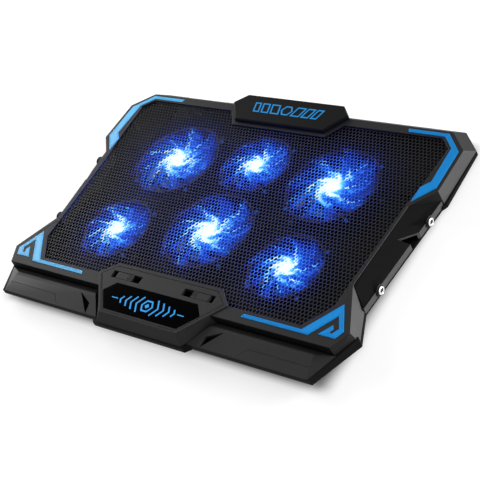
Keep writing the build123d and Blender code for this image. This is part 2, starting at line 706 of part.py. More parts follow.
def front_lip():
    """The right lip: a wedge on the apron, in front of the recess under the deck."""
    floor = APRON_RIM_Z
    front_y = -APRON_REACH + LIP_FRONT_SET
    profile = [
        (-FIT, floor),
        (-FIT, floor + 0.6),
        (LIP_RIDGE_Y, LIP_RIDGE_Z),
        (LIP_SHOULDER_Y, LIP_SHOULDER_Z),
        (front_y, LIP_FRONT_Z),
        (front_y, floor),
    ]
    face = Face(Wire.make_polygon([(0, y, z) for y, z in profile], close=True))
    wedge = extrude(face, amount=DECK_HALF_WIDTH + 20, dir=(1, 0, 0))
    module_front = (MODULE_FRONT_HALF + MODULE_SPREAD, MODULE_FRONT_Y - MODULE_SLOPE)
    module_back = (MODULE_WIDE_HALF + MODULE_SPREAD, MODULE_WIDE_Y)
    rear_inner_x = module_x(module_front, module_back, -FIT) + 2 * FIT
    front_inner_x = module_x(module_front, module_back, front_y) + 2 * FIT
    corner = pan_outline()[6]
    wing = pan_outline()[5]
    rear_outer_x = corner[0] + (wing[0] - corner[0]) * (-FIT - corner[1]) / (wing[1] - corner[1])
    plan = [
        (rear_inner_x, -FIT),
        (rear_outer_x - 0.5, -FIT),
        (corner[0] - 0.5, front_y),
        (front_inner_x, front_y),
    ]
    wedge &= slab(plan, floor, 0)
    ridge_end = (rear_outer_x - LIP_END_SLOPE, LIP_RIDGE_Y, LIP_RIDGE_Z)
    front_end = (corner[0] - LIP_CORNER_SET, front_y, LIP_FRONT_Z)
    foot = (rear_outer_x - LIP_CORNER_SET, LIP_RIDGE_Y, floor)
    plane = Plane(origin=ridge_end, z_dir=facet_normal(ridge_end, front_end, foot))
    return split(wedge, bisect_by=plane, keep=Keep.BOTTOM)


def module_x(front, back, y):
    """The x of the module's foot at a y."""
    return front[0] + (back[0] - front[0]) * (y - front[1]) / (back[1] - front[1])


def facet_normal(first, second, third):
    """The upward normal of the plane through three points."""
    normal = (Vector(*second) - Vector(*first)).cross(Vector(*third) - Vector(*first))
    return normal if normal.Z > 0 else normal * -1


# ---------------------------------------------------------------- front module
def front_cover():
    """The module's cover: rim on the deck, sloping front, stopper slots and trays."""
    plate = slab(module_outline(), 0, MODULE_TOP_Z)
    plate += slab(inset(module_outline(), MODULE_LIP + FIT), MODULE_TOP_Z - MODULE_PLATE,
                  MODULE_TOP_Z - EPS)
    edge_x = module_x((MODULE_FRONT_HALF, MODULE_FRONT_Y), (MODULE_WIDE_HALF, MODULE_WIDE_Y), -FIT)
    upper = mirrored([(edge_x, -FIT), (MODULE_FRONT_HALF, MODULE_FRONT_Y)])
    lower = mirrored([(edge_x + MODULE_SPREAD, -FIT),
                      (MODULE_FRONT_HALF + MODULE_SPREAD, MODULE_FRONT_Y - MODULE_SLOPE)])
    skirt = frustum(lower, APRON_RIM_Z, upper, 0)
    inner_upper = mirrored([(edge_x - WALL, 1), (MODULE_FRONT_HALF - 1, MODULE_FRONT_Y + WALL)])
    inner_lower = mirrored([(edge_x + MODULE_SPREAD - WALL, 1),
                            (MODULE_FRONT_HALF + MODULE_SPREAD - WALL,
                             MODULE_FRONT_Y - MODULE_SLOPE + WALL)])
    skirt -= frustum(inner_lower, APRON_RIM_Z - EPS, inner_upper, MODULE_TOP_Z - MODULE_PLATE)
    cover = plate + skirt
    for side in (1, -1):
        cover += stopper_tray(side)
        cover -= stopper_space(side)
        cover -= stopper_pin(side, 0.03, 0.1)
        cover += cover_boss(side)
    seat = MODULE_TOP_Z - WINDOW_THICKNESS
    cover += slab(inset(window_outline(), -WINDOW_BORDER), seat - WINDOW_SEAT, MODULE_TOP_Z - EPS)
    cover -= slab(inset(window_outline(), -INLAY_GAP), seat, MODULE_TOP_Z + 1)
    cover -= slab(inset(window_outline(), WINDOW_LEDGE), seat - 2 * WINDOW_SEAT, MODULE_TOP_Z + 1)
    cover += board_posts()
    return cover


def cover_boss(side):
    """A boss with a screw hole, from the cover down to the apron's floor."""
    x, y = side * COVER_SCREW[0], COVER_SCREW[1]
    low = floor_top_z(y)
    return rod(x, y, low, seat_z(), BOSS_RADIUS) - rod(x, y, low - 1, seat_z() - 1, PILOT_RADIUS)


def seat_z():
    """The height of the cover's inner face under the window's frame."""
    return MODULE_TOP_Z - WINDOW_THICKNESS - WINDOW_SEAT + EPS


def board_posts():
    """Short posts that hold the light board under the window."""
    low = MODULE_TOP_Z - WINDOW_THICKNESS - LIGHT_BOARD_DROP
    rear_y = MODULE_REAR_Y - WINDOW_MARGIN_REAR + 0.5
    front_y = MODULE_FRONT_Y + WINDOW_MARGIN_FRONT - 0.5
    return [rod(side * 40, y, low, seat_z(), 1.6) for side in (1, -1) for y in (rear_y, front_y)]


def display_window():
    """The glossy dark window."""
    return slab(window_outline(), MODULE_TOP_Z - WINDOW_THICKNESS, MODULE_TOP_Z - 0.1)


def light_board():
    """The circuit board with lamps that light the window."""
    high = MODULE_TOP_Z - WINDOW_THICKNESS - LIGHT_BOARD_DROP
    rear_y = MODULE_REAR_Y - WINDOW_MARGIN_REAR + 2.0
    front_y = MODULE_FRONT_Y + WINDOW_MARGIN_FRONT - 2.0
    board = block((-43, 43), (front_y, rear_y), (high - LIGHT_BOARD_THICKNESS, high))
    lamps = [block((x - 1.75, x + 1.75), (y - 1.4, y + 1.4), (high - EPS, high + 1.2))
             for x in (-30, -10, 10, 30) for y in (rear_y - 8, front_y + 8)]
    x, y = COVER_SCREW
    board -= [rod(side * x, y, high - 5, high + 5, BOSS_RADIUS + FIT) for side in (1, -1)]
    return board + lamps


def stopper_axis_z():
    """The height of the stoppers' pins."""
    return MODULE_TOP_Z - STOPPER_SINK - STOPPER_BARREL


def stopper_tray(side):
    """The closed tray under a stopper, with the cheeks that hold its pin."""
    x = sorted((side * (SLOT_INNER_X - TRAY_WALL), side * (SLOT_OUTER_X + TRAY_WALL)))
    y = (SLOT_FRONT_Y - CHEEK, SLOT_FRONT_Y + SLOT_WIDTH + CHEEK)
    return block(x, y, (MODULE_TOP_Z - MODULE_PLATE - TRAY_DEPTH, MODULE_TOP_Z - 2 * EPS))


def stopper_space(side):
    """The slot and the tray's hollow."""
    x = sorted((side * SLOT_INNER_X, side * SLOT_OUTER_X))
    y = (SLOT_FRONT_Y, SLOT_FRONT_Y + SLOT_WIDTH)
    return block(x, y, (MODULE_TOP_Z - MODULE_PLATE - TRAY_DEPTH + TRAY_WALL, MODULE_TOP_Z + 1))


def stopper_pin(side, play, extra):
    """A stopper's pin, fatter and longer by what its hole needs."""
    start = SLOT_FRONT_Y - CHEEK * 0.7 - extra
    end = SLOT_FRONT_Y + SLOT_WIDTH + CHEEK * 0.7 + extra
    return rod_along_y(side * STOPPER_PIVOT_X, start, end, stopper_axis_z(),
                       STOPPER_PIN_RADIUS + play)


def stopper():
    """The right flip-up stopper: a flat arm with a barrel at its outer end."""
    top = MODULE_TOP_Z - STOPPER_SINK
    y = (SLOT_FRONT_Y + FIT, SLOT_FRONT_Y + SLOT_WIDTH - FIT)
    arm = block((STOPPER_INNER_X, STOPPER_PIVOT_X), y, (top - STOPPER_THICKNESS, top))
    arm += rod_along_y(STOPPER_PIVOT_X, *y, stopper_axis_z(), STOPPER_BARREL)
    arm -= rod_along_y(STOPPER_PIVOT_X, y[0] - 1, y[1] + 1, stopper_axis_z(),
                       STOPPER_PIN_RADIUS + SHAFT_PLAY)
    return arm


def stopper_pins():
    """The pins that both stoppers turn on."""
    return Compound([stopper_pin(side, 0, 0) for side in (1, -1)])


# ---------------------------------------------------------------- fans
def fan_sets():
    """The two fan sizes: blade radius, hub radius and centres."""
    return (
        (LARGE_BLADE_RADIUS, LARGE_HUB_RADIUS, LARGE_FAN_CENTRES),
        (SMALL_BLADE_RADIUS, SMALL_HUB_RADIUS, SMALL_FAN_CENTRES),
    )


def ear_angles(x, y):
    """Directions of a fan's three screw ears, clear of its neighbours."""
    if x > 1:
        return (0, 120, 240) if y > DECK_DEPTH / 2 else (90, 210, 330)
    if x < -1:
        return (180, 60, 300) if y > DECK_DEPTH / 2 else (90, 330, 210)
    return (90, 210, 330) if y > DECK_DEPTH / 2 else (30, 150, 270)


def ear_centres(x, y, radius):
    """The places of a fan's screws."""
    reach = radius + BLADE_GAP + FAN_RING_WALL + EAR_REACH
    return [(x + reach * math.cos(math.radians(a)), y + reach * math.sin(math.radians(a)))
            for a in ear_angles(x, y)]


def fan_housing(x, y, radius, hub):
    """A fan's frame: ring, struts, motor plate, bearing boss and screw ears."""
    low, top = FLOOR_TOP_Z, FAN_TOP_Z
    inner = radius + BLADE_GAP
    outer = inner + FAN_RING_WALL
    ring = rod(x, y, low, top, outer)
    for ear_x, ear_y in ear_centres(x, y, radius):
        ring += rod(ear_x, ear_y, low, low + EAR_HEIGHT, EAR_RADIUS)
    ring -= rod(x, y, low - 1, top + 1, inner)
    plate = rod(x, y, low, low + FAN_BASE, hub)
    for k in range(STRUT_COUNT):
        turn = Pos(x, y, low + FAN_BASE / 2) * Rot(0, 0, 360 / STRUT_COUNT * k + 45)
        plate += turn * Pos(inner / 2, 0, 0) * Box(inner + 1.6, STRUT_WIDTH, FAN_BASE)
    boss_top = top - HUB_WALL - 2.0
    housing = ring + plate + rod(x, y, low, boss_top, BEARING_BOSS_RADIUS)
    housing -= rod(x, y, low + 1.0, boss_top + 1, BEARING_RADIUS)
    for ear_x, ear_y in ear_centres(x, y, radius):
        housing -= rod(ear_x, ear_y, low - 1, top, FAN_SCREW_RADIUS)
    for angle in led_angles():
        turn = Pos(x, y, top - 3.5) * Rot(0, 0, angle)
        housing -= turn * Pos(inner, 0, 0) * Rot(0, 90, 0) * Cylinder(LED_RADIUS + 0.05, 8)
    return housing


def led_angles():
    """Directions of a fan's lamps."""
    return [360 / LEDS_PER_FAN * k + 45 for k in range(LEDS_PER_FAN)]


def fan_leds():
    """The lamps in the fans' rings."""
    lamps = []
    for radius, _, centres in fan_sets():
        start = radius + BLADE_GAP + FIT
        for x, y in centres:
            for angle in led_angles():
                turn = Pos(x, y, FAN_TOP_Z - 3.5) * Rot(0, 0, angle) * Pos(start + LED_LENGTH / 2, 0, 0)
                lamps.append(turn * Rot(0, 90, 0) * Cylinder(LED_RADIUS, LED_LENGTH))
    return Compound(lamps)


def blade(radius, hub):
    """One swept, twisted blade about the origin, its middle at z = 0."""
    root_radius = hub - 0.8
    wires = []
    for share in (0.0, 0.5, 1.0):
        reach = root_radius + (radius + BLADE_GAP - root_radius) * share
        pitch = BLADE_PITCH_ROOT + (BLADE_PITCH_TIP - BLADE_PITCH_ROOT) * share
        chord = 10.5 + 5.5 * share
        place = Rot(0, 0, BLADE_SWEEP * share) * Pos(reach, 0, 0) * Rot(pitch, 0, 0)
        half, thick = chord / 2, BLADE_THICKNESS / 2
        section = Wire.make_polygon([(0, -half, -thick), (0, half, -thick),
                                     (0, half, thick), (0, -half, thick)], close=True)
        wires.append(section.moved(place))
    return Part() + Solid.make_loft(wires)


def fan_rotor(x, y, radius, hub):
    """A fan's turning part: hub cup, shaft and blades."""
    top = FAN_TOP_Z - 0.6
    low = FLOOR_TOP_Z + FAN_BASE + 1.2
    cup = rod(0, 0, low, top, hub)
    cup = fillet(cup.edges().group_by(Axis.Z)[-1], 1.0)
    cup -= rod(0, 0, low - 1, top - HUB_WALL, hub - HUB_WALL)
    one = Pos(0, 0, (low + top) / 2) * blade(radius, hub)
    trim = rod(0, 0, low, top, radius) - rod(0, 0, low - 1, top + 1, hub - HUB_WALL * 0.6)
    one = one & trim
    blades = [Rot(0, 0, 360 / BLADE_COUNT * k) * one for k in range(BLADE_COUNT)]
    shaft = rod(0, 0, FLOOR_TOP_Z + 2.0, top - HUB_WALL + EPS, SHAFT_RADIUS)
    return Pos(x, y, 0) * (cup + blades + shaft)


def fan_stator(x, y, hub):
    """A fan motor's still part: round circuit board and four coils on their core."""
    low = FLOOR_TOP_Z + FAN_BASE
    board = rod(x, y, low, low + 0.8, hub - HUB_WALL - 1.2)
    core = rod(x, y, low + 0.7, low + 7.0, BEARING_BOSS_RADIUS + 1.4)
    reach = hub - HUB_WALL - 1.0
    for k in range(4):
        turn = Pos(x, y, low + 4.2) * Rot(0, 0, 90 * k)
        core += turn * Pos(reach / 2, 0, 0) * Box(reach, 4.2, 4.0)
        core += turn * Pos(reach - 0.9, 0, 0) * Box(1.8, 8.0, 5.0)
    core &= rod(x, y, low, low + 8, reach)
    return board + core - rod(x, y, low - 1, low + 9, BEARING_BOSS_RADIUS + 0.05)


def fan_bearings():
    """The sleeves that the fans' shafts turn in."""
    sleeves = []
    for _, _, centres in fan_sets():
        for x, y in centres:
            sleeve = rod(x, y, FLOOR_TOP_Z + 1.0, FAN_TOP_Z - HUB_WALL - 2.4, BEARING_RADIUS - 0.02)
            sleeve -= rod(x, y, FLOOR_TOP_Z + 1.6, FAN_TOP_Z, SHAFT_RADIUS + SHAFT_PLAY)
            sleeves.append(sleeve)
    return Compound(sleeves)


def fan_screws():
    """Screws that hold the fans' ears to the pan."""
    screws = []
    for radius, _, centres in fan_sets():
        for x, y in centres:
            for ear_x, ear_y in ear_centres(x, y, radius):
                head_low = FLOOR_TOP_Z + EAR_HEIGHT
                screw = rod(ear_x, ear_y, head_low, head_low + SCREW_HEAD, FAN_SCREW_HEAD_RADIUS)
                screw += rod(ear_x, ear_y, FLOOR_Z + 0.6, head_low + EPS, FAN_SCREW_RADIUS - 0.05)
                screws.append(screw)
    return Compound(screws)


# ---------------------------------------------------------------- kickstands, feet and screws
def kickstand_leg():
    """The right leg, folded flat into its pocket."""
    z = leg_pivot_z()
    x = (LEG_X - LEG_WIDTH / 2, LEG_X + LEG_WIDTH / 2)
    end_y = LEG_PIVOT_Y - LEG_LENGTH + LEG_TIP
    leg = block(x, (end_y, LEG_PIVOT_Y), (z - LEG_THICKNESS / 2, z + LEG_THICKNESS / 2))
    leg += rod_along_x(*x, LEG_PIVOT_Y, z, LEG_BARREL)
    leg -= rod_along_x(x[0] - 1, x[1] + 1, LEG_PIVOT_Y, z, LEG_PIN_RADIUS + SHAFT_PLAY)
    leg -= block((LEG_X - 7, LEG_X + 7), (end_y + 6, end_y + 14),
                 (z - LEG_THICKNESS, z - LEG_THICKNESS / 2 + LEG_GRIP))
    return leg


def leg_tip():
    """The rubber block on the right leg's free end."""
    z = leg_pivot_z()
    end_y = LEG_PIVOT_Y - LEG_LENGTH
    return block((LEG_X - LEG_WIDTH / 2, LEG_X + LEG_WIDTH / 2), (end_y, end_y + LEG_TIP),
                 (z - LEG_THICKNESS / 2 - 0.2, z + LEG_THICKNESS / 2 + 0.2))


def leg_pins():
    """The pins that the legs turn on."""
    half = LEG_WIDTH / 2 + LEG_ROOM + POCKET_WALL
    return Compound([rod_along_x(side * LEG_X - half, side * LEG_X + half, LEG_PIVOT_Y,
                                 leg_pivot_z(), LEG_PIN_RADIUS) for side in (1, -1)])


def rubber_feet():
    """Round feet, each held by a spigot in the pan's floor."""
    feet = []
    for x, y in FOOT_CENTRES:
        for side in (1, -1):
            foot = rod(side * x, y, FLOOR_Z - FOOT_HEIGHT, FLOOR_Z, FOOT_RADIUS)
            foot = chamfer(foot.edges().group_by(Axis.Z)[0], 1.0)
            foot += rod(side * x, y, FLOOR_Z - EPS, FLOOR_TOP_Z - 0.2, FOOT_SPIGOT_RADIUS)
            feet.append(foot)
    return Compound(feet)


def case_screws():
    """Screws from below into the shell's bosses, and two into the module's cover."""
    screws = []
    for x, y in (*BOSS_CENTRES, COVER_SCREW):
        for side in (1, -1):
            seat = screw_seat_z(y)
            screw = rod(side * x, y, seat - SCREW_HEAD, seat, SCREW_HEAD_RADIUS)
            screw += rod(side * x, y, seat - EPS, seat + SCREW_LENGTH, SCREW_SHANK_RADIUS)
            screws.append(screw)
    return Compound(screws)


# ---------------------------------------------------------------- electronics and rear controls
def board_top_z():
    """The top face of the control board."""
    return FLOOR_TOP_Z + BOARD_STANDOFF + BOARD_THICKNESS


def panel_span():
    """The port panel's ends along x."""
    return BAY_LEFT + FIT, BAY_RIGHT - FIT


def port_panel():
    """The upright plate in the rear bay, with windows for sockets, dial and button."""
    left, right = panel_span()
    y = (PANEL_Y - PANEL_THICKNESS, PANEL_Y)
    panel = block((left, right), y, (FLOOR_TOP_Z, PANEL_TOP_Z))
    for x in SOCKET_X:
        panel -= block((x - SOCKET_WIDTH / 2 - 0.1, x + SOCKET_WIDTH / 2 + 0.1),
                       (y[0] - 1, y[1] + 1), (board_top_z(), board_top_z() + SOCKET_HEIGHT + 0.1))
    dial_low = board_top_z() + DIAL_BASE_HEIGHT
    half = dial_half_width() + 0.5
    panel -= block((DIAL_X - half, DIAL_X + half), (y[0] - 1, y[1] + 1),
                   (dial_low, dial_low + DIAL_THICKNESS + 0.8))
    return panel


def dial_centre_y():
    """The y of the dial's axis."""
    return PANEL_Y + DIAL_PROUD - DIAL_RADIUS


def dial_half_width():
    """Half of the dial's width where it passes the panel's inner face."""
    inner_y = PANEL_Y - PANEL_THICKNESS
    return math.sqrt(DIAL_RADIUS ** 2 - (inner_y - dial_centre_y()) ** 2)


def control_board():
    """The circuit board on its standoffs, with the fan plugs."""
    y = (PANEL_Y - PANEL_THICKNESS - FIT - BOARD_DEPTH, PANEL_Y - PANEL_THICKNESS - FIT)
    x = (BAY_LEFT + 1, BAY_RIGHT - 1)
    top = board_top_z()
    board = block(x, y, (top - BOARD_THICKNESS, top))
    for post_x in (x[0] + 4, x[1] - 4):
        for post_y in (y[0] + 4, y[1] - 8):
            board += rod(post_x, post_y, FLOOR_TOP_Z, top - BOARD_THICKNESS + EPS, 2.0)
    board += block((x[0] + 8, x[0] + 32), (y[0] + 1, y[0] + 6), (top - EPS, top + 5))
    board += block((x[1] - 15, x[1] - 8), (y[0] + 2, y[0] + 8), (top - EPS, top + 1.5))
    return board


def usb_socket(x):
    """A folded steel socket shell with its plastic tongue."""
    low = board_top_z()
    y = (PANEL_Y - SOCKET_LENGTH, PANEL_Y + 0.2)
    wide = (x - SOCKET_WIDTH / 2, x + SOCKET_WIDTH / 2)
    shell = block(wide, y, (low, low + SOCKET_HEIGHT))
    shell -= block((wide[0] + SOCKET_SHEET, wide[1] - SOCKET_SHEET), (y[0] + 3, y[1] + 1),
                   (low + SOCKET_SHEET, low + SOCKET_HEIGHT - SOCKET_SHEET))
    tongue_high = low + SOCKET_HEIGHT - SOCKET_SHEET - 0.5
    return shell + block((x - 5.6, x + 5.6), (y[0] + 2, y[1] - 1.5),
                         (tongue_high - TONGUE_THICKNESS, tongue_high))


def dial_base():
    """The body and spindle that the speed dial turns on."""
    low = board_top_z()
    y = dial_centre_y()
    side = DIAL_RADIUS * 0.6
    body = block((DIAL_X - side, DIAL_X + side), (y - side, PANEL_Y - PANEL_THICKNESS - FIT),
                 (low, low + DIAL_BASE_HEIGHT))
    return body + rod(DIAL_X, y, low, low + DIAL_BASE_HEIGHT + DIAL_THICKNESS, DIAL_SHAFT_RADIUS)


def speed_dial():
    """The knurled thumbwheel for the fans' speed."""
    low = board_top_z() + DIAL_BASE_HEIGHT + 0.3
    y = dial_centre_y()
    wheel = rod(DIAL_X, y, low, low + DIAL_THICKNESS, DIAL_RADIUS)
    for k in range(24):
        turn = Pos(DIAL_X, y, low + DIAL_THICKNESS / 2) * Rot(0, 0, 15 * k)
        wheel -= turn * Pos(DIAL_RADIUS, 0, 0) * Rot(0, 0, 45) * Box(0.6, 0.6, DIAL_THICKNESS + 1)
    return wheel - rod(DIAL_X, y, low - 1, low + DIAL_THICKNESS + 1, DIAL_SHAFT_RADIUS + SHAFT_PLAY)


# ---------------------------------------------------------------- output
def save_fans():
    """Write every fan's housing, rotor and stator."""
    names = (("large_right", "large_left", "large_front"), ("small_right", "small_left", "small_rear"))
    for (radius, hub, centres), group in zip(fan_sets(), names):
        for (x, y), name in zip(centres, group):
            save(f"fan_housing_{name}", fan_housing(x, y, radius, hub))
            save(f"fan_rotor_{name}", fan_rotor(x, y, radius, hub))
            save(f"fan_stator_{name}", fan_stator(x, y, hub))


def main():
    """Build every node."""
    os.makedirs("parts", exist_ok=True)
    save("top_frame", top_frame())
    save("bottom_pan", bottom_pan())
    save("mesh_panel", mesh_panel())
    save("front_cover", front_cover())
    save("display_window", display_window())
    save("light_board", light_board())
    save("rear_badge_plate", rear_badge_plate())
    save_pair("front_lip", front_lip())
    save_pair("side_skirt", side_skirt())
    save_pair("inlay_rear", inlay(rear_inlay_outline()))
    save_pair("inlay_front", inlay(front_inlay_outline()))
    save_pair("stopper", stopper())
    save_pair("kickstand_leg", kickstand_leg())
    save_pair("leg_tip", leg_tip())
    save_fans()
    save("fan_bearings", fan_bearings())
    save("fan_leds", fan_leds())
    save("fan_screws", fan_screws())
    save("skirt_screws", skirt_screws())
    save("case_screws", case_screws())
    save("stopper_pins", stopper_pins())
    save("leg_pins", leg_pins())
    save("rubber_feet", rubber_feet())
    save("port_panel", port_panel())
    save("control_board", control_board())
    for number, x in enumerate(SOCKET_X, 1):
        save(f"usb_socket_{number}", usb_socket(x))
    save("dial_base", dial_base())
    save("speed_dial", speed_dial())


main()
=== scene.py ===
"""Dressed model of a lit laptop cooling pad, in metres.

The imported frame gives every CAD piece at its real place. The classes here add what those solids
leave out: the fine mesh sheet, softened shells with their grooves, lit ornaments, detailed screws
and a finish for every surface. Lengths are millimetres unless a docstring says metres, and places
are given from the deck, as Deck says.
"""

import json
import logging
import math
from dataclasses import dataclass
from enum import Enum
from functools import cache
from typing import Callable, Optional, Sequence

import bmesh
import bpy
from mathutils import Matrix, Vector
from mathutils.geometry import delaunay_2d_cdt


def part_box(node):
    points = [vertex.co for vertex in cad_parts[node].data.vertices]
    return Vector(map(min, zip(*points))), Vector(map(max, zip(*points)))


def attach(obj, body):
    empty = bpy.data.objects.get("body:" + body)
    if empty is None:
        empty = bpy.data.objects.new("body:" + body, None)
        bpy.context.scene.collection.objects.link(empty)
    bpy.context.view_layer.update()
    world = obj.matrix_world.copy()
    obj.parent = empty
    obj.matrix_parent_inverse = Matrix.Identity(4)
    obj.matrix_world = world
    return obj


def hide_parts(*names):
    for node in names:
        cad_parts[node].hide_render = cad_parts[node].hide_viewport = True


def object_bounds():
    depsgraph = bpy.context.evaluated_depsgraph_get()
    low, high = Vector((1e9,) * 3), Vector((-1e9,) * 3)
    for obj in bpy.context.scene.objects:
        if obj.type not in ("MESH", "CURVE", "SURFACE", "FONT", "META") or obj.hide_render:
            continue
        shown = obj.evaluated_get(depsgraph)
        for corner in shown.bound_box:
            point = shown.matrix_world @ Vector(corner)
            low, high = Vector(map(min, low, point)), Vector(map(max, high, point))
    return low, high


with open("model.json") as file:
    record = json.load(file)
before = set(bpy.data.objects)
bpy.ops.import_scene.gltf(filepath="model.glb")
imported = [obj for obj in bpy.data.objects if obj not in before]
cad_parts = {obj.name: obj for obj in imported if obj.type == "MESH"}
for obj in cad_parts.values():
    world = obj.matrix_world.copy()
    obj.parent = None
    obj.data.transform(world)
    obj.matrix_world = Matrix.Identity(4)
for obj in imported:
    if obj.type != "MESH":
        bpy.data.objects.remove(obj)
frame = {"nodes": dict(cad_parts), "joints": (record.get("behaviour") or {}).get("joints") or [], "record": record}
CAD_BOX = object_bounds()

MM = 0.001
MERGE = 1e-6  # metres within which two corners are one
FLAT_ANGLE = math.radians(0.3)  # faces that bend less are one
EDGE_ANGLE = math.radians(28.0)  # edges that bend more are sharp
EDGE_ROOM = 2.2  # how many roundings long a rounded edge's neighbours are
UPRIGHT = 0.99  # a normal's least z where a face looks up
FLUSH = 50 * MERGE  # metres within which a face is level with the top
CLEAR = 1.0  # how far a cutter stands out of what it cuts
SEED_STEP = 0.7  # from one fan's light to the next
LOG = logging.getLogger("cooling_pad")

Flat = tuple[float, float]
Place = tuple[float, float, float]
Colour = tuple[float, float, float]
Object = bpy.types.Object
Material = bpy.types.Material
NodeTree = bpy.types.NodeTree
BMesh = bmesh.types.BMesh
Inputs = dict[object, object]

BLACK = (0.0, 0.0, 0.0)
WHITE = (1.0, 1.0, 1.0)


class Side(Enum):
    """The two mirrored halves of the pad, with their sign along x."""

    RIGHT = 1
    LEFT = -1

    @property
    def word(self) -> str:
        """The half's name, as it ends the names of nodes and bodies."""
        return self.name.lower()

    def flip(self, points: Sequence[Flat]) -> list[Flat]:
        """Right-hand plan points, moved to this half."""
        return [(self.value * x, y) for x, y in points]


class FanSize(Enum):
    """The two kinds of fan and how far their light reaches."""

    LARGE = 48.0
    SMALL = 38.5


@dataclass(frozen=True)
class Deck:
    """Places given from the deck: x from the middle, y from its front edge, z from its top. The origin is in metres."""

    origin: Vector

    @classmethod
    def measured(cls) -> "Deck":
        """The deck's reference point, read from the frame's shell."""
        low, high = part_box("top_frame")
        return cls(Vector((0.0, low.y, high.z)))

    def at(self, x: float, y: float, z: float) -> Vector:
        """The point in metres of a place on the deck."""
        return self.origin + Vector((x, y, z)) * MM

    def read(self, point: Vector) -> Place:
        """The place on the deck of a point in metres."""
        return tuple((there - here) / MM for there, here in zip(point, self.origin))

    def top_of(self, node: str) -> float:
        """Height of a CAD node's top above the deck's."""
        return self.read(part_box(node)[1])[2]


DECK = Deck.measured()


# ---- meshes
def link(name: str, data: bpy.types.ID) -> Object:
    """Put a mesh, light or camera in the scene under a name."""
    bpy.context.scene.collection.objects.link(thing := bpy.data.objects.new(name, data))
    return thing


def publish(name: str, bm: BMesh) -> Object:
    """Turn a bmesh into an object.

    Args:
        name: The piece's name.
        bm: Its geometry, which is freed.

    Returns:
        The object.
    """
    bmesh.ops.recalc_face_normals(bm, faces=bm.faces)
    mesh = bpy.data.meshes.new(name)
    bm.to_mesh(mesh)
    bm.free()
    return link(name, mesh)


def offsets(points: Sequence[Flat], distance: float, closed: bool) -> list[Flat]:
    """Move a path to its left, with mitred corners.

    Args:
        points: The path.
        distance: The shift, to the right if negative.
        closed: Whether the path returns to its start.

    Returns:
        The moved points.
    """
    normals, moved = [], []
    for start, end in zip(points, [*points[1:], *points[:1]] if closed else points[1:]):
        length = math.dist(start, end)
        normals.append(((start[1] - end[1]) / length, (end[0] - start[0]) / length))
    for i, (x, y) in enumerate(points):
        first = normals[i - 1] if closed or i else normals[0]
        last = normals[min(i, len(normals) - 1)]
        scale = distance / (1.0 + first[0] * last[0] + first[1] * last[1])
        moved.append((x + scale * (first[0] + last[0]), y + scale * (first[1] + last[1])))
    return moved


def circle(count: int) -> list[Flat]:
    """Even steps round the unit circle."""
    return [(math.cos(math.tau * k / count), math.sin(math.tau * k / count)) for k in range(count)]


def hexagon(radius: float, y: float) -> list[Flat]:
    """Corners of a hexagon on the pad's middle line."""
    return [(radius * across, y + radius * along) for across, along in circle(6)]


def add_prism(bm: BMesh, outline: Sequence[Flat], low: float, high: float) -> None:
    """Add a closed prism over a plan outline.

    Args:
        bm: Where to add it.
        outline: Its corners on the deck.
        low: Height of its bottom above the deck's top.
        high: Height of its top.
    """
    below, above = ([bm.verts.new(DECK.at(x, y, z)) for x, y in outline] for z in (low, high))
    bm.faces.new(below[::-1])
    bm.faces.new(above)
    for i in range(len(outline)):
        j = (i + 1) % len(outline)
        bm.faces.new((below[i], below[j], above[j], above[i]))


def add_band(bm: BMesh, points: Sequence[Flat], width: float, low: float, high: float,
             closed: bool = False) -> None:
    """Add a band of even width along a plan path.

    Args:
        bm: Where to add it.
        points: The band's middle line on the deck.
        width: Its width.
        low: Height of its bottom above the deck's top.
        high: Height of its top.
        closed: Whether it returns to its start.
    """
    left, right = (offsets(points, half, closed) for half in (width / 2, -width / 2))
    rows = [[bm.verts.new(DECK.at(x, y, z)) for x, y in line]
            for line, z in ((left, low), (right, low), (right, high), (left, high))]
    count = len(points)
    for i in range(count if closed else count - 1):
        j = (i + 1) % count
        for row, following in zip(rows, rows[1:] + rows[:1]):
            bm.faces.new((row[i], row[j], following[j], following[i]))
    if not closed:
        bm.faces.new([row[0] for row in rows])
        bm.faces.new([row[-1] for row in rows][::-1])


def grooves(paths: Sequence[Sequence[Flat]], width: float, depth: float, top: float = 0.0,
            closed: bool = False) -> BMesh:
    """Make the cutter of grooves along plan paths.

    Args:
        paths: Their middle lines on the deck.
        width: Their width.
        depth: Their depth.
        top: Height of the face that they are cut in.
        closed: Whether they return to their starts.

    Returns:
        The cutter.
    """
    cutter = bmesh.new()
    for path in paths:
        add_band(cutter, path, width, top - depth, top + CLEAR, closed)
    return cutter


def add_lathe(bm: BMesh, profile: Sequence[Flat], place: Matrix, segments: int) -> None:
    """Add a turned solid.

    Args:
        bm: Where to add it.
        profile: Radius and height pairs, from axis to axis or closed.
        place: Where the turning axis, its z, stands, in metres.
        segments: Faces round the axis.
    """
    rings = []
    for radius, height in profile:
        spots = circle(segments) if radius > 0.0 else [(0, 0)]
        rings.append([bm.verts.new(place @ (Vector((radius * x, radius * y, height)) * MM)) for x, y in spots])
    for lower, upper in zip(rings, rings[1:]):
        for k in range(segments):
            n = (k + 1) % segments
            corners = [lower[k % len(lower)], lower[n % len(lower)], upper[n % len(upper)], upper[k % len(upper)]]
            bm.faces.new(list(dict.fromkeys(corners)))


def carve(piece: Object, cutter: BMesh) -> None:
    """Cut a solid away from a piece.

    Args:
        piece: What is cut.
        cutter: The solid to take away, which is freed.
    """
    tool = publish("cutter", cutter)
    cut = piece.modifiers.new("cut", "BOOLEAN")
    cut.operation, cut.solver, cut.object = "DIFFERENCE", "EXACT", tool
    bpy.context.view_layer.update()
    graph = bpy.context.evaluated_depsgraph_get()
    mesh = bpy.data.meshes.new_from_object(piece.evaluated_get(graph))
    piece.modifiers.clear()
    piece.data = mesh
    bpy.data.objects.remove(tool)


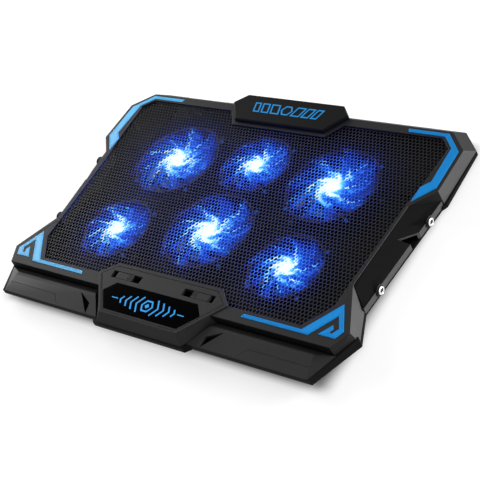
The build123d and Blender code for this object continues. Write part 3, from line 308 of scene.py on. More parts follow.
def copy_of(node: str) -> BMesh:
    """Copy a CAD node's geometry, with its split corners joined and its flat faces whole.

    Args:
        node: The node's name.

    Returns:
        The copy.
    """
    bm = bmesh.new()
    bm.from_mesh(frame["nodes"][node].data)
    bmesh.ops.remove_doubles(bm, verts=bm.verts, dist=MERGE)
    bmesh.ops.dissolve_limit(bm, angle_limit=FLAT_ANGLE, verts=bm.verts, edges=bm.edges)
    return bm


def soften(bm: BMesh, width: float, least: float) -> None:
    """Round the sharp edges that have room for it.

    Args:
        bm: What is rounded.
        width: The rounding.
        least: What an edge's length has to be over.
    """
    width *= MM

    def fits(edge: bmesh.types.BMEdge) -> bool:
        """Whether an edge is a sharp one with long neighbours."""
        near = min(other.calc_length() for vert in edge.verts for other in vert.link_edges)
        sharp = edge.calc_face_angle(0.0) >= EDGE_ANGLE
        return sharp and near > EDGE_ROOM * width and edge.calc_length() > least * MM

    bmesh.ops.bevel(bm, geom=[edge for edge in bm.edges if fits(edge)], offset=width, offset_type="OFFSET",
                    segments=2, profile=0.5, affect="EDGES", clamp_overlap=True)


def rim_of(node: str) -> list[Flat]:
    """Find the plan outline of a CAD node's top face.

    Args:
        node: The node's name.

    Returns:
        The outline's corners on the deck, in turn.
    """
    bm = copy_of(node)
    top = max(v.co.z for v in bm.verts)
    faces = {f for f in bm.faces if f.normal.z > UPRIGHT and abs(f.calc_center_median().z - top) < FLUSH}
    follow: dict[bmesh.types.BMVert, list[bmesh.types.BMVert]] = {}
    for edge in bm.edges:
        if len(faces & set(edge.link_faces)) == 1:
            for vert in edge.verts:
                follow.setdefault(vert, []).append(edge.other_vert(vert))
    start = max(follow, key=lambda v: v.co.x)
    loop, previous, current = [start], start, follow[start][0]
    while current is not start:
        loop.append(current)
        previous, current = current, next(v for v in follow[current] if v is not previous)
    outline = [DECK.read(v.co)[:2] for v in loop]
    bm.free()
    return outline


def islands(node: str) -> list[tuple[Vector, Vector]]:
    """Find the box of each separate solid of a CAD node.

    Args:
        node: The node's name.

    Returns:
        Lowest and highest corners in metres, in order of place.
    """
    bm = copy_of(node)
    left, boxes = set(bm.verts), []
    while left:
        reached = {next(iter(left))}
        front = set(reached)
        while front:
            front = {e.other_vert(v) for v in front for e in v.link_edges} - reached
            reached |= front
        left -= reached
        low, high = (Vector(pick(v.co[i] for v in reached) for i in range(3)) for pick in (min, max))
        boxes.append((low, high))
    bm.free()
    return sorted(boxes, key=lambda box: tuple(round(c, 5) for c in box[0]))


# ---- shader nodes
class Value:
    """A node's output. Its sums and products are Math nodes."""

    def __init__(self, graph: "Graph", socket: bpy.types.NodeSocket) -> None:
        """Wrap an output of one of a graph's nodes."""
        self.graph, self.socket = graph, socket

    def __add__(self, other: object) -> "Value":
        """The sum."""
        return self.graph.math("ADD", self, other)

    def __sub__(self, other: object) -> "Value":
        """The difference."""
        return self.graph.math("SUBTRACT", self, other)

    def __rsub__(self, other: float) -> "Value":
        """The difference, taken from a number."""
        return self.graph.math("SUBTRACT", other, self)

    def __mul__(self, other: object) -> "Value":
        """The product."""
        return self.graph.math("MULTIPLY", self, other)

    def __truediv__(self, other: object) -> "Value":
        """The quotient."""
        return self.graph.math("DIVIDE", self, other)

    def scaled(self, factor: float, shift: object, clamp: bool = False) -> "Value":
        """The value times a factor, plus a shift."""
        return self.graph.math("MULTIPLY_ADD", self, factor, shift, clamp=clamp)


class Step:
    """A node of a graph."""

    def __init__(self, graph: "Graph", node: bpy.types.Node) -> None:
        """Wrap a node."""
        self.graph, self.node = graph, node

    def __getitem__(self, output: object) -> Value:
        """One of its outputs, by name or number."""
        return Value(self.graph, self.node.outputs[output])


class Graph:
    """A short way to write the nodes of a material or a shared group."""

    def __init__(self, tree: NodeTree) -> None:
        """Start from a node tree without nodes."""
        self.tree = tree
        tree.nodes.clear()

    def add(self, kind: str, inputs: Optional[Inputs] = None, **settings: object) -> Step:
        """Add a node.

        Args:
            kind: The node's type, without its "ShaderNode" prefix if it has one.
            inputs: Values to link, or constants to set, by the socket's name or number.
            settings: The node's own properties.

        Returns:
            The node.
        """
        node = self.tree.nodes.new(kind if kind.startswith("Node") else "ShaderNode" + kind)
        for name, value in settings.items():
            setattr(node, name, value)
        for name, value in (inputs or {}).items():
            socket = node.inputs[name]
            if isinstance(value, Value):
                self.tree.links.new(value.socket, socket)
            else:
                socket.default_value = (*value, 1.0) if socket.type == "RGBA" else value
        return Step(self, node)

    def math(self, operation: str, *values: object, clamp: bool = False) -> Value:
        """A Math node's result."""
        return self.add("Math", dict(enumerate(values)), operation=operation, use_clamp=clamp)[0]

    def ramp(self, value: Value, low: float, high: float) -> Value:
        """Make a smooth step.

        Args:
            value: What it follows.
            low: Where it is 0.
            high: Where it is 1, which may be below low.

        Returns:
            The step, from 0 to 1.
        """
        if low > high:
            return 1.0 - self.ramp(value, high, low)
        inputs = {"Value": value, "From Min": low, "From Max": high}
        return self.add("MapRange", inputs, interpolation_type="SMOOTHSTEP")["Result"]

    def mix(self, share: object, first: object, second: object, blend: str = "MIX") -> Value:
        """A mix of two colours, all of the second where the share is 1."""
        return self.add("Mix", {0: share, 6: first, 7: second}, data_type="RGBA", blend_type=blend)[2]

    def noise(self, scale: object, detail: float, space: Optional[Value] = None, **inputs: float) -> Value:
        """A noise, in the object's own space if none is given."""
        space = space or self.add("TexCoord")["Object"]
        return self.add("TexNoise", {"Vector": space, "Scale": scale, "Detail": detail, **inputs})[0]

    def bump(self, height: Value, relief: float, **inputs: Value) -> Value:
        """Normals that show a height, relief metres deep."""
        return self.add("Bump", {"Height": height, "Strength": 1.0, "Distance": relief, **inputs})["Normal"]

    def place(self, group: Callable[[], NodeTree], **inputs: float) -> Step:
        """Place a shared group with its own values."""
        return self.add("Group", inputs, node_tree=group())

    def show(self, inputs: Inputs) -> None:
        """Put a Principled shader with these inputs on the material's output."""
        self.add("OutputMaterial", {"Surface": self.add("BsdfPrincipled", inputs)["BSDF"]})

    def put_out(self, **outputs: Value) -> NodeTree:
        """Give a group its outputs.

        Args:
            outputs: Their names and values.

        Returns:
            The finished group.
        """
        for label, value in outputs.items():
            kind = "Vector" if value.socket.type == "VECTOR" else "Float"
            self.tree.interface.new_socket(name=label, in_out="OUTPUT", socket_type="NodeSocket" + kind)
        self.add("NodeGroupOutput", outputs)
        return self.tree


def start_group(name: str, **inputs: float) -> tuple[Graph, Step]:
    """Start a shared node group.

    Args:
        name: Its name.
        inputs: Its inputs' names and default values.

    Returns:
        The group's graph, and the node with its inputs.
    """
    tree = bpy.data.node_groups.new(name, "ShaderNodeTree")
    for label, value in inputs.items():
        socket = tree.interface.new_socket(name=label, in_out="INPUT", socket_type="NodeSocketFloat")
        socket.default_value = value
    g = Graph(tree)
    return g, g.add("NodeGroupInput")


@cache
def edge_highlight() -> NodeTree:
    """A group that finds edges: a mask that is 1 on them, used to paint a highlight there, and normals that round them.
    """
    g, given = start_group("edge_highlight", Radius=0.0005)
    rounded = g.add("Bevel", {"Radius": given["Radius"]}, samples=4)["Normal"]
    true = g.add("NewGeometry")["Normal"]
    agree = g.add("VectorMath", {0: rounded, 1: true}, operation="DOT_PRODUCT")["Value"]
    return g.put_out(Mask=g.ramp(1.0 - agree, 0.004, 0.12), Normal=rounded)


@cache
def moulded_grain() -> NodeTree:
    """A group for moulded or powder-coated skins: a fine height and a slow change of tone."""
    g, given = start_group("moulded_grain", Scale=2600.0)
    space = g.add("TexCoord")["Object"]
    fine = g.noise(given["Scale"], 3.0, space, Roughness=0.6)
    cells = g.add("TexVoronoi", {"Vector": space, "Scale": given["Scale"] * 0.6}, feature="SMOOTH_F1")
    return g.put_out(Height=fine + cells["Distance"] * 0.5, Tone=g.ramp(g.noise(14.0, 4.0, space), 0.3, 0.7))


@cache
def fan_glow() -> NodeTree:
    """A group for the light of one turning fan: a white heart, swept arms, lobed blades and thin sparks."""
    blade_count, arm_count, spark_count = 7.0, 5.0, 9.0
    g, given = start_group("fan_glow", X=0.0, Y=0.0, Reach=FanSize.LARGE.value * MM, Seed=0.0)
    seed = given["Seed"]
    place = g.add("SeparateXYZ", {"Vector": g.add("TexCoord")["Object"]})
    x, y = place["X"] - given["X"], place["Y"] - given["Y"]
    r = g.math("SQRT", x * x + y * y) / given["Reach"]
    square = r * r
    angle = g.math("ARCTAN2", y, x) + seed

    def turned(twist: float) -> Value:
        """The angle round the fan, wound back with the distance from its middle."""
        return angle - r * twist

    def swirl(twist: float, across: float, out: float, shift: float) -> Value:
        """Noise coordinates that wind round the fan, scaled across it and out from its middle."""
        way = turned(twist)
        return g.add("CombineXYZ", {"X": g.math("COSINE", way) * across, "Y": g.math("SINE", way) * across,
                                    "Z": r * out + (seed + shift)})["Vector"]

    def wave(count: float, twist: float, shake: Value) -> Value:
        """A wave from 0 to 1 with so many crests round the fan."""
        return g.math("SINE", turned(twist) * count + shake).scaled(0.5, 0.5)

    def bell(steepness: float) -> Value:
        """A soft spot round the fan's middle."""
        return g.math("EXPONENT", square * -steepness)

    wobble = g.noise(1.0, 3.0, swirl(1.2, 1.6, 1.4, 0.0)) - 0.5
    lobes = wave(blade_count, 1.5, wobble * 5.0)
    edge = lobes.scaled(-0.17, r) + wobble * 0.3
    streak = g.ramp(g.noise(1.0, 2.0, swirl(1.3, 4.2, 1.0, 4.0)), 0.42, 0.68)
    body = g.ramp(edge, 0.94, 0.62) * streak.scaled(0.13, 0.29) + bell(4.0) * 0.17

    sweep = g.ramp(r, 0.12, 0.24) * g.ramp(r + wobble, 0.54, 0.3)
    arms = sweep * g.ramp(wave(arm_count, 4.6, wobble * 2.5), 0.3, 0.95)
    heart = g.math("ADD", bell(26.0) * 0.95, arms * 0.38, clamp=True)

    jitter = g.noise(1.0, 4.0, swirl(0.5, 2.6, 4.5, 9.0), Roughness=0.65)
    crest = wave(spark_count, 0.7, jitter * 7.0)
    thin = g.ramp((1.0 - crest) * square, 0.011, 0.0)
    patch = g.ramp(g.noise(1.0, 1.0, swirl(0.8, 1.4, 1.2, 2.0)), 0.44, 0.52)
    sparks = thin * patch * (g.ramp(r, 0.25, 0.34) * g.ramp(r, 1.02, 0.8) * 0.36)
    # Spill is a wide soft spot, used to paint a spill of the fan's light round it.
    return g.put_out(Glow=g.math("ADD", body + sparks, heart, clamp=True), Heart=heart, Haze=bell(1.5))


LIGHT_STOPS: tuple[tuple[float, Colour], ...] = (
    (0.0, BLACK), (0.16, (0.001, 0.006, 0.13)), (0.32, (0.003, 0.055, 0.58)), (0.5, (0.015, 0.22, 1.0)),
    (0.68, (0.12, 0.58, 1.0)), (0.86, (0.7, 0.97, 1.0)), (1.0, WHITE),
)


def light_ramp(g: Graph, glow: Value) -> Value:
    """Find the lamps' colour at a brightness, from black through deep blue to white.

    Args:
        g: The material's graph.
        glow: The brightness.

    Returns:
        The colour.
    """
    step = g.add("ValToRGB", {"Fac": glow})
    stops = step.node.color_ramp.elements
    for place, _ in LIGHT_STOPS[1:-1]:
        stops.new(place)
    for stop, (_, colour) in zip(stops, LIGHT_STOPS):
        stop.color = (*colour, 1.0)
    return step["Color"]


# ---- finishes
def start_material(name: str) -> tuple[Material, Graph]:
    """Start a material.

    Args:
        name: Its name.

    Returns:
        The material and its graph.
    """
    material = bpy.data.materials.new(name)
    material.use_nodes = True
    return material, Graph(material.node_tree)


def paler(colour: Colour, factor: float) -> Colour:
    """A colour times a factor, no channel over 1."""
    return tuple(min(1.0, channel * factor) for channel in colour)


@dataclass(frozen=True)
class Skin:
    """A moulded, coated or cast surface with grain, a slow change of tone and painted edge highlights.

    The grain is the number of grains per metre, and the edges are painted lighter by the factor edge, a painted
    highlight.
    Relief and rounding are the grain's depth and the rounded edges' width, in metres.
    """

    name: str
    colour: Colour
    roughness: float = 0.5
    grain: float = 2600.0
    relief: float = 0.00002
    edge: float = 1.8
    metallic: float = 0.0
    specular: float = 0.5
    rounding: float = 0.0004

    def build(self) -> Material:
        """Make the material."""
        material, g = start_material(self.name)
        edge_light = g.place(edge_highlight, Radius=self.rounding)
        grain = g.place(moulded_grain, Scale=self.grain)
        tone = g.mix(grain["Tone"], paler(self.colour, 0.9), paler(self.colour, 1.1))
        # The edges are painted paler by the factor edge: a painted highlight.
        g.show({
            "Base Color": g.mix(edge_light["Mask"], tone, paler(self.colour, self.edge)),
            "Roughness": grain["Height"].scaled(0.1, self.roughness - 0.05, clamp=True),
            "Normal": g.bump(grain["Height"], self.relief, Normal=edge_light["Normal"]),
            "Metallic": self.metallic, "Specular IOR Level": self.specular,
        })
        return material


@dataclass(frozen=True)
class Lamp:
    """A surface that gives light, brighter where a slow noise is high. Its body is its colour when unlit."""

    name: str
    colour: Colour
    strength: float = 1.0
    body: Colour = (0.002, 0.02, 0.05)

    def build(self) -> Material:
        """Make the material."""
        material, g = start_material(self.name)
        waver = g.ramp(g.noise(60.0, 2.0), 0.2, 0.8)
        g.show({
            "Emission Color": g.mix(waver, paler(self.colour, 0.82), self.colour),
            "Base Color": g.mix(waver, self.body, paler(self.body, 1.3)),
            "Emission Strength": self.strength, "Roughness": 0.35, "Specular IOR Level": 0.1,
        })
        return material


@dataclass(frozen=True)
class FanLight:
    """One fan's light: its axis on the plan, in metres, its kind, and a seed that makes its sparks its own."""

    name: str
    middle: Vector
    size: FanSize
    seed: float

    def glow(self, g: Graph, drift: Flat = (0.0, 0.0)) -> Step:
        """Place this fan's light in a material, with its spot so many metres from the axis."""
        return g.place(fan_glow, X=self.middle.x + drift[0], Y=self.middle.y + drift[1],
                       Reach=self.size.value * MM, Seed=self.seed)


def fan_lights() -> list[FanLight]:
    """Find every fan's light from the joint that the fan turns on.

    Returns:
        The lights, in the frame's order.
    """
    lights = []
    for joint in frame["joints"]:
        name = joint["name"].removesuffix("_spin")
        if name != joint["name"]:
            size = FanSize.LARGE if name.startswith("large") else FanSize.SMALL
            lights.append(FanLight(name, Vector(joint["pos_m"]), size, SEED_STEP * len(lights)))
    return lights


@dataclass(frozen=True)
class RotorGlow:
    """Smoky clear blades that carry one fan's light, paler at their rims."""

    light: FanLight
    colour: Colour = (0.01, 0.03, 0.12)
    rim: Colour = (0.05, 0.16, 0.5)

    @property
    def name(self) -> str:
        """The finish's name."""
        return f"rotor_{self.light.name}"

    def build(self) -> Material:
        """Make the material."""
        material, g = start_material(self.name)
        glow = self.light.glow(g)
        edge_light = g.place(edge_highlight, Radius=0.0005)
        inner = glow["Glow"].scaled(0.62, glow["Heart"] * 0.45)
        # The rims are painted paler in base colour and a little brighter in glow: a painted edge highlight.
        g.show({
            "Base Color": g.mix(edge_light["Mask"], self.colour, self.rim),
            "Emission Color": light_ramp(g, g.math("ADD", inner, edge_light["Mask"] * 0.05, clamp=True)),
            "Normal": edge_light["Normal"], "Emission Strength": 1.0, "Roughness": 0.4, "Specular IOR Level": 0.1,
        })
        return material


@dataclass(frozen=True)
class SheetMetal:
    """The powder-coated mesh sheet, with the fans' light painted on it as a glow.

    The holes' walls are painted darker than the coat by a factor, as painted shade, and the painted glow's
    spots lie a drift away from the fans' axes, in metres.
    """

    lights: tuple[FanLight, ...]
    name: str = "mesh_metal"
    colour: Colour = (0.0115, 0.011, 0.0135)
    # How much darker the holes' walls are painted: painted shade.
    wall_shade: float = 0.3
    # The colour of the spill of fan light painted round each fan.
    haze: Colour = (0.012, 0.042, 0.42)
    drift: Flat = (0.001, -0.0032)

    def build(self) -> Material:
        """Make the material."""
        material, g = start_material(self.name)
        # The fans' light is painted on the sheet as emission, a glow and a bluish spill, though the sheet gives no
        # light.
        first, *others = [light.glow(g, self.drift) for light in self.lights]
        glow, haze = first["Glow"], first["Haze"]
        for other in others:
            glow, haze = g.math("MAXIMUM", glow, other["Glow"]), haze + other["Haze"]
        grain = g.place(moulded_grain, Scale=3200.0)
        # 1 on faces that look up; the holes' walls below it get painted shade and no painted glow.
        level = g.ramp(g.add("SeparateXYZ", {"Vector": g.add("NewGeometry")["Normal"]})["Z"], 0.5, 0.9)
        coat = g.mix(grain["Tone"], paler(self.colour, 0.85), paler(self.colour, 1.15))
        spread = g.mix(g.math("MULTIPLY", haze, 1.0, clamp=True), BLACK, self.haze)
        lit = g.mix(1.0, light_ramp(g, glow), spread, blend="ADD")
        shown = g.math("MAXIMUM", level, g.ramp(glow, 0.3, 0.8))
        g.show({
            "Base Color": g.mix(level, paler(self.colour, self.wall_shade), coat),
            "Emission Color": g.mix(shown, BLACK, lit), "Normal": g.bump(grain["Height"], 0.00001),
            "Emission Strength": 1.0, "Roughness": 0.5, "Specular IOR Level": 0.13,
        })
        material.cycles.emission_sampling = "NONE"
        return material


# A skin's edge factor paints its edges paler: a painted highlight.
SKINS: tuple[Skin, ...] = (
    # case_plastic and the copy below it are one plastic in two shades: this darker one tones down faces that look up,
    # painted shade, and the lighter one is painted light.
    Skin("case_plastic", (0.015, 0.015, 0.0158), specular=0.09),
    Skin("case_plastic_painted_lighter", (0.021, 0.021, 0.022), specular=0.12),
    # A lighter copy of the case plastic for faces that look sideways: painted light from the side.
    Skin("painted_sidelight_plastic", (0.075, 0.075, 0.077), specular=0.2),
    Skin("badge_plastic", (0.0045, 0.0045, 0.0048), 0.45, edge=3.0, specular=0.035),
    Skin("skirt_plastic", (0.005, 0.005, 0.0053), 0.6, edge=2.6, specular=0.05),
    Skin("blue_plastic", (0.004, 0.27, 0.72), 0.35, relief=0.000006, edge=1.25, specular=0.12),
    # A paler copy of the blue plastic for the left inlays: painted sheen.
    Skin("blue_plastic_painted_sheen", (0.05, 0.5, 0.98), 0.35, relief=0.000006, edge=1.2, specular=0.3),
    Skin("black_gloss", (0.0004, 0.0004, 0.0005), 0.15, relief=0.000001, edge=3.0, specular=0.006),
    Skin("fan_plastic", (0.01, 0.01, 0.011), 0.45, edge=2.2, specular=0.2),
    Skin("steel", (0.55, 0.55, 0.57), 0.3, 900.0, 0.000008, 1.3, 1.0),
    Skin("dark_steel", (0.03, 0.03, 0.033), 0.4, 900.0, 0.000008, 1.3, 1.0),
    Skin("chrome_ring", (0.86, 0.86, 0.87), 0.16, 700.0, 0.000004, 1.1, 1.0),
    Skin("bronze", (0.45, 0.27, 0.12), 0.4, 4000.0, 0.00002, 1.3, 1.0),
    Skin("board", (0.0012, 0.009, 0.004), 0.4, 1500.0, 0.00001, 2.0, specular=0.06),
    Skin("coil", (0.36, 0.12, 0.04), 0.35, 5200.0, 0.00005, 1.5, 0.8),
    Skin("rubber", (0.014, 0.014, 0.014), 0.82, 3400.0, 0.00004, 1.6, specular=0.3),
    Skin("tongue", (0.62, 0.62, 0.64), 0.28, 900.0, 0.000006, 1.2, 1.0),
)
LAMPS: tuple[Lamp, ...] = (
    Lamp("led", (0.02, 0.1, 0.6), 0.5, (0.02, 0.05, 0.1)),
    Lamp("lit_blue", (0.012, 0.34, 0.84)),
    Lamp("badge_blue", (0.004, 0.24, 0.6)),
)


class Finishes:
    """Every finish of the pad, built when first asked for."""

    def __init__(self, lights: Sequence[FanLight]) -> None:
        """Gather the finishes, the lit ones with the fans' lights."""
        kinds = (*SKINS, *LAMPS, SheetMetal(tuple(lights)), *(RotorGlow(light) for light in lights))
        self.kinds = {kind.name: kind for kind in kinds}

    @cache
    def get(self, name: str) -> Material:
        """The material of the finish with a name."""
        return self.kinds[name].build()


# ---- sub-assemblies
@dataclass
class Assembly:
    """A group of pieces that are made and dressed together, from the pad's finishes."""

    finishes: Finishes

    def fit(self, piece: Object, slot: str, *nodes: str, body: str = "case", finish: str = "") -> None:
        """Give a piece its finish, its body and the nodes that it stands for.

        Args:
            piece: The finished piece.
            slot: The record's material slot.
            nodes: CAD nodes that it replaces.
            body: The body that carries it.
            finish: Its finish, if not the one that bears the slot's name.
        """
        piece.data.materials.clear()
        piece.data.materials.append(self.finishes.get(finish or slot))
        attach(piece, body)
        if nodes:
            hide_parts(*nodes)
        LOG.info("%s rides on %s", piece.name, body)

    def paint(self, piece: Object, finish: str, test: Callable[[bpy.types.MeshPolygon], bool]) -> None:
        """Give some faces of a piece a finish of their own.

        Args:
            piece: The piece.
            finish: The finish.
            test: Whether a face takes it.
        """
        piece.data.materials.append(self.finishes.get(finish))
        index = len(piece.data.materials) - 1
        for face in piece.data.polygons:
            if test(face):
                face.material_index = index

    def shell(self, name: str, node: str, width: float, slot: str, *cutters: BMesh, body: str = "case",
              finish: str = "", least: float = 0.0) -> Object:
        """Make a piece from the CAD node that it stands for, and fit it.

        Args:
            name: The piece's name.
            node: The node.
            width: Rounding of its edges.
            slot: The record's material slot.
            cutters: What is cut away from it, in turn.
            body: The body that carries it.
            finish: Its finish, if not the one that bears the slot's name.
            least: What an edge's length has to be over to be rounded.

        Returns:
            The piece.
        """
        bm = copy_of(node)
        soften(bm, width, least)
        piece = publish(name, bm)
        for cutter in cutters:
            carve(piece, cutter)
        self.fit(piece, slot, node, body=body, finish=finish)
        return piece


@dataclass
class MeshSheet(Assembly):
    """The perforated sheet over the fans: hexagonal holes on a staggered pattern, cut off at its edge.

    A hole is measured along a row, across its flats.
    """

    pitch: float = 3.79
    row_pitch: float = 3.7
    hole: float = 3.15
    gauge: float = 0.6

    def hole_centres(self, outline: Sequence[Flat]) -> list[Flat]:
        """Find the centres of every hole that may touch the sheet.

        Args:
            outline: The sheet's outline.

        Returns:
            The centres, row by row.
        """
        (left, right), (front, rear) = ((min(axis), max(axis)) for axis in zip(*outline))
        middle, count = (front + rear) / 2, int((rear - front) / self.row_pitch)
        rows = [row for row in range(-count, count) if front < middle + row * self.row_pitch < rear]
        columns = range(int(left / self.pitch) - 1, int(right / self.pitch) + 2)
        return [((column + 0.5 * (row % 2)) * self.pitch, middle + row * self.row_pitch)
                for row in rows for column in columns]

    def build(self) -> None:
        """Make the sheet in place of the plain CAD one."""
        outline = rim_of("mesh_panel")
        corners = [Vector(point) for point in outline]
        loops = [list(range(len(outline)))]
        radius = self.hole / math.sqrt(3)
        stretch = self.row_pitch / (self.pitch * math.sqrt(3) / 2)
        spokes = [(-radius * along, radius * stretch * across) for across, along in circle(6)]
        for x, y in self.hole_centres(outline):
            loops.append(list(range(len(corners), len(corners) + 6)))
            corners += [Vector((x + dx, y + dy)) for dx, dy in spokes]
        points, _, faces, _, _, sources = delaunay_2d_cdt(corners, [], loops, 0, 1e-4, True)
        self.thicken(points, [face for face, source in zip(faces, sources) if source == [0]])

    def thicken(self, points: Sequence[Vector], web: Sequence[Sequence[int]]) -> None:
        """Make the sheet from its flat web.

        Args:
            points: Plan points on the deck.
            web: Faces of solid metal between the holes, as numbers of points.
        """
        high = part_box("mesh_panel")[1].z
        used = sorted({i for face in web for i in face})
        order = {old: new for new, old in enumerate(used)}
        plan = [DECK.at(points[i].x, points[i].y, 0) for i in used]
        count = len(plan)
        places = [(p.x, p.y, z) for z in (high, high - self.gauge * MM) for p in plan]
        top = [tuple(order[i] for i in face) for face in web]
        edges = {(face[k], face[(k + 1) % len(face)]) for face in top for k in range(len(face))}
        walls = [(b, a, a + count, b + count) for a, b in edges if (b, a) not in edges]
        below = [tuple(i + count for i in reversed(face)) for face in top]
        mesh = bpy.data.meshes.new("mesh_sheet")
        mesh.from_pydata(places, [], top + below + walls)
        self.fit(link("mesh_sheet", mesh), "mesh_metal", "mesh_panel")


@dataclass
class CaseShells(Assembly):
    """The moulded shells: upper frame, pan, skirts and lips.

    Lines are the right half's. A lip's face slopes from its ridge to its foot, each given behind the
    deck's front edge and above its top, and the arrow-shaped recess has a black inset on its floor, painted shade.
    A face's normal tells whether it looks sideways, squarely so, upward or forward.
    """

    edge: float = 0.45
    long_edge: float = 12.0
    sideways: float = 0.6
    upward: float = 0.7
    forward: float = -0.3
    squarely: float = 0.85
    front_strip: float = 0.5
    groove: float = 0.55
    groove_depth: float = 0.5
    thin: float = 0.7
    wing_line: tuple[Flat, ...] = ((168.0, 57.0), (175.5, 57.0), (186.5, 38.5))
    lip_line: tuple[Flat, ...] = ((188.0, -17.4), (117.0, -17.4), (110.3, -25.6))
    lip_line_depth: float = 0.25
    lip_arrow: tuple[Flat, ...] = ((87.5, -8.9), (70.8, -16.9), (69.5, -27.2))
    lip_arrow_depth: float = 2.6
    lip_arrow_floor: float = 0.3
    lip_ridge: Flat = (-9.6, -5.3)
    lip_foot: Flat = (-27.6, -9.1)

    def build(self) -> None:
        """Make every shell."""
        lines = grooves([side.flip(self.wing_line) for side in Side], self.groove, self.groove_depth)
        deck = self.shell("deck_shell", "top_frame", self.edge, "case_plastic", lines, least=self.long_edge)
        # Faces that look sideways take the lighter plastic: painted light from the side.
        self.paint(deck, "painted_sidelight_plastic", lambda face: (
            abs(face.normal.x) > self.sideways and face.normal.z < self.upward and face.normal.y > self.forward))
        # The deck's forward faces at its front are painted black: painted shade on the front wall.
        front = DECK.at(0, self.front_strip, 0).y
        self.paint(deck, "skirt_plastic", lambda face: face.normal.y < self.forward and face.center.y < front)
        self.shell("pan_shell", "bottom_pan", self.edge, "skirt_plastic", least=self.long_edge)
        for side in Side:
            self.build_lip(side)
            skirt = self.shell(f"skirt_shell_{side.word}", f"side_skirt_{side.word}", self.edge, "skirt_plastic")
            # The skirt's outward faces take the lighter plastic: painted light from the side.
            self.paint(skirt, "painted_sidelight_plastic", lambda face: side.value * face.normal.x > self.squarely)

    def build_lip(self, side: Side) -> None:
        """Make one lip with its panel line and its arrow-shaped recess.

        Args:
            side: Which lip.
        """
        arrow, depth = side.flip(self.lip_arrow)[::side.value], self.lip_arrow_depth
        recess, inset = bmesh.new(), bmesh.new()
        add_prism(recess, arrow, -depth, CLEAR)
        add_prism(inset, arrow, -depth, self.lip_arrow_floor - depth)
        line = grooves([side.flip(self.lip_line)], self.groove * self.thin, self.lip_line_depth)
        for bm in (recess, inset, line):
            self.lean(bm)
        # The whole lip takes the lighter copy of the case plastic: painted light.
        self.shell(f"lip_shell_{side.word}", f"front_lip_{side.word}", self.edge, "case_plastic", recess, line,
                   finish="case_plastic_painted_lighter")
        # A black inset on the recess floor: painted shade in the recess.
        self.fit(publish(f"lip_arrow_{side.word}", inset), "skirt_plastic", finish="black_gloss")

    def lean(self, bm: BMesh) -> None:
        """Lay a solid that was made level on the lips' sloping face.

        Args:
            bm: The solid.
        """
        (ridge_y, ridge_z), (foot_y, foot_z) = self.lip_ridge, self.lip_foot
        slope = (ridge_z - foot_z) / (ridge_y - foot_y)
        for vert in bm.verts:
            vert.co.z += (ridge_z + slope * (DECK.read(vert.co)[1] - ridge_y)) * MM


@dataclass
class FrontModule(Assembly):
    """The front module: cover, gloss window with a lit motif, and the flip-up stoppers.

    The ring, the dash and the chevrons are the right half's. A chevron is the place of its tip and
    half its height, and a rib the width and the depth of a stopper's grip groove.
    """

    edge: float = 0.35
    window_edge: float = 0.2
    line: float = 0.5
    line_depth: float = 0.45
    thin: float = 0.7
    forward: float = -0.3
    upward: float = 0.8
    ring: tuple[Flat, ...] = ((60.0, 24.6), (74.2, 12.9), (45.0, -24.4))
    second_gap: float = 1.3
    stroke: float = 1.5
    relief: float = 0.1
    motif_y: float = -8.2
    hub_radius: float = 6.2
    core: float = 2.604
    chevrons: tuple[Flat, ...] = ((13.0, 8.6), (19.5, 7.2), (26.0, 5.6), (32.5, 3.8))
    chevron_lean: float = 0.55
    dash: Flat = (36.0, 43.5)
    dash_share: float = 0.6
    flap_edge: float = 0.3
    rib_count: int = 4
    rib_start: float = 1.6
    rib_pitch: float = 1.3
    rib_set: float = 1.0
    rib: Flat = (0.6, 0.35)

    def build(self) -> None:
        """Make the module."""
        self.build_cover()
        self.shell("window_pane", "display_window", self.window_edge, "black_gloss")
        self.build_motif()
        for side in Side:
            self.build_stopper(side)

    def build_cover(self) -> None:
        """Make the cover with its panel lines."""
        top = DECK.top_of("front_cover")
        ring = [*self.ring, *((-x, y) for x, y in reversed(self.ring))]
        outer = grooves([ring], self.line, self.line_depth, top, closed=True)
        inner = grooves([offsets(ring, -self.second_gap, True)[1:5]], self.line * self.thin, self.line_depth, top)
        cover = self.shell("module_cover", "front_cover", self.edge, "case_plastic", outer, inner)
        # The cover's forward faces take the lighter copy of the case plastic: painted light.
        self.paint(cover, "case_plastic_painted_lighter", lambda face: (
            face.normal.y < self.forward and face.normal.z < self.upward))

    def build_motif(self) -> None:
        """Make the window's lit motif: a hexagon between rows of shrinking chevrons."""
        high, y, core = DECK.top_of("display_window") + self.relief, self.motif_y, self.core
        low = high - 2 * self.relief
        bm = bmesh.new()
        add_band(bm, hexagon(self.hub_radius, y), self.stroke, low, high, closed=True)
        add_prism(bm, [(0, y - core), (core, y), (0, y + core), (-core, y)], low, high)
        for side in Side:
            for x, half in self.chevrons:
                back = x - half * self.chevron_lean
                add_band(bm, side.flip([(back, y + half), (x, y), (back, y - half)]), self.stroke, low, high)
            add_band(bm, side.flip([(x, y) for x in self.dash]), self.stroke * self.dash_share, low, high)
        self.fit(publish("window_motif", bm), "blue_plastic", finish="lit_blue")

    def build_stopper(self, side: Side) -> None:
        """Make one stopper with grip grooves near its free end.

        Args:
            side: Which stopper.
        """
        node = f"stopper_{side.word}"
        low, high = (DECK.read(corner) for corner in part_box(node))
        first = min(abs(low[0]), abs(high[0])) + self.rib_start
        places = [side.value * (first + self.rib_pitch * k) for k in range(self.rib_count)]
        ribs = grooves([[(x, low[1] + self.rib_set), (x, high[1] - self.rib_set)] for x in places],
                       *self.rib, high[2])
        self.shell(f"stopper_flap_shell_{side.word}", node, self.flap_edge, "case_plastic", ribs,
                   body=f"stopper_flap_{side.word}")


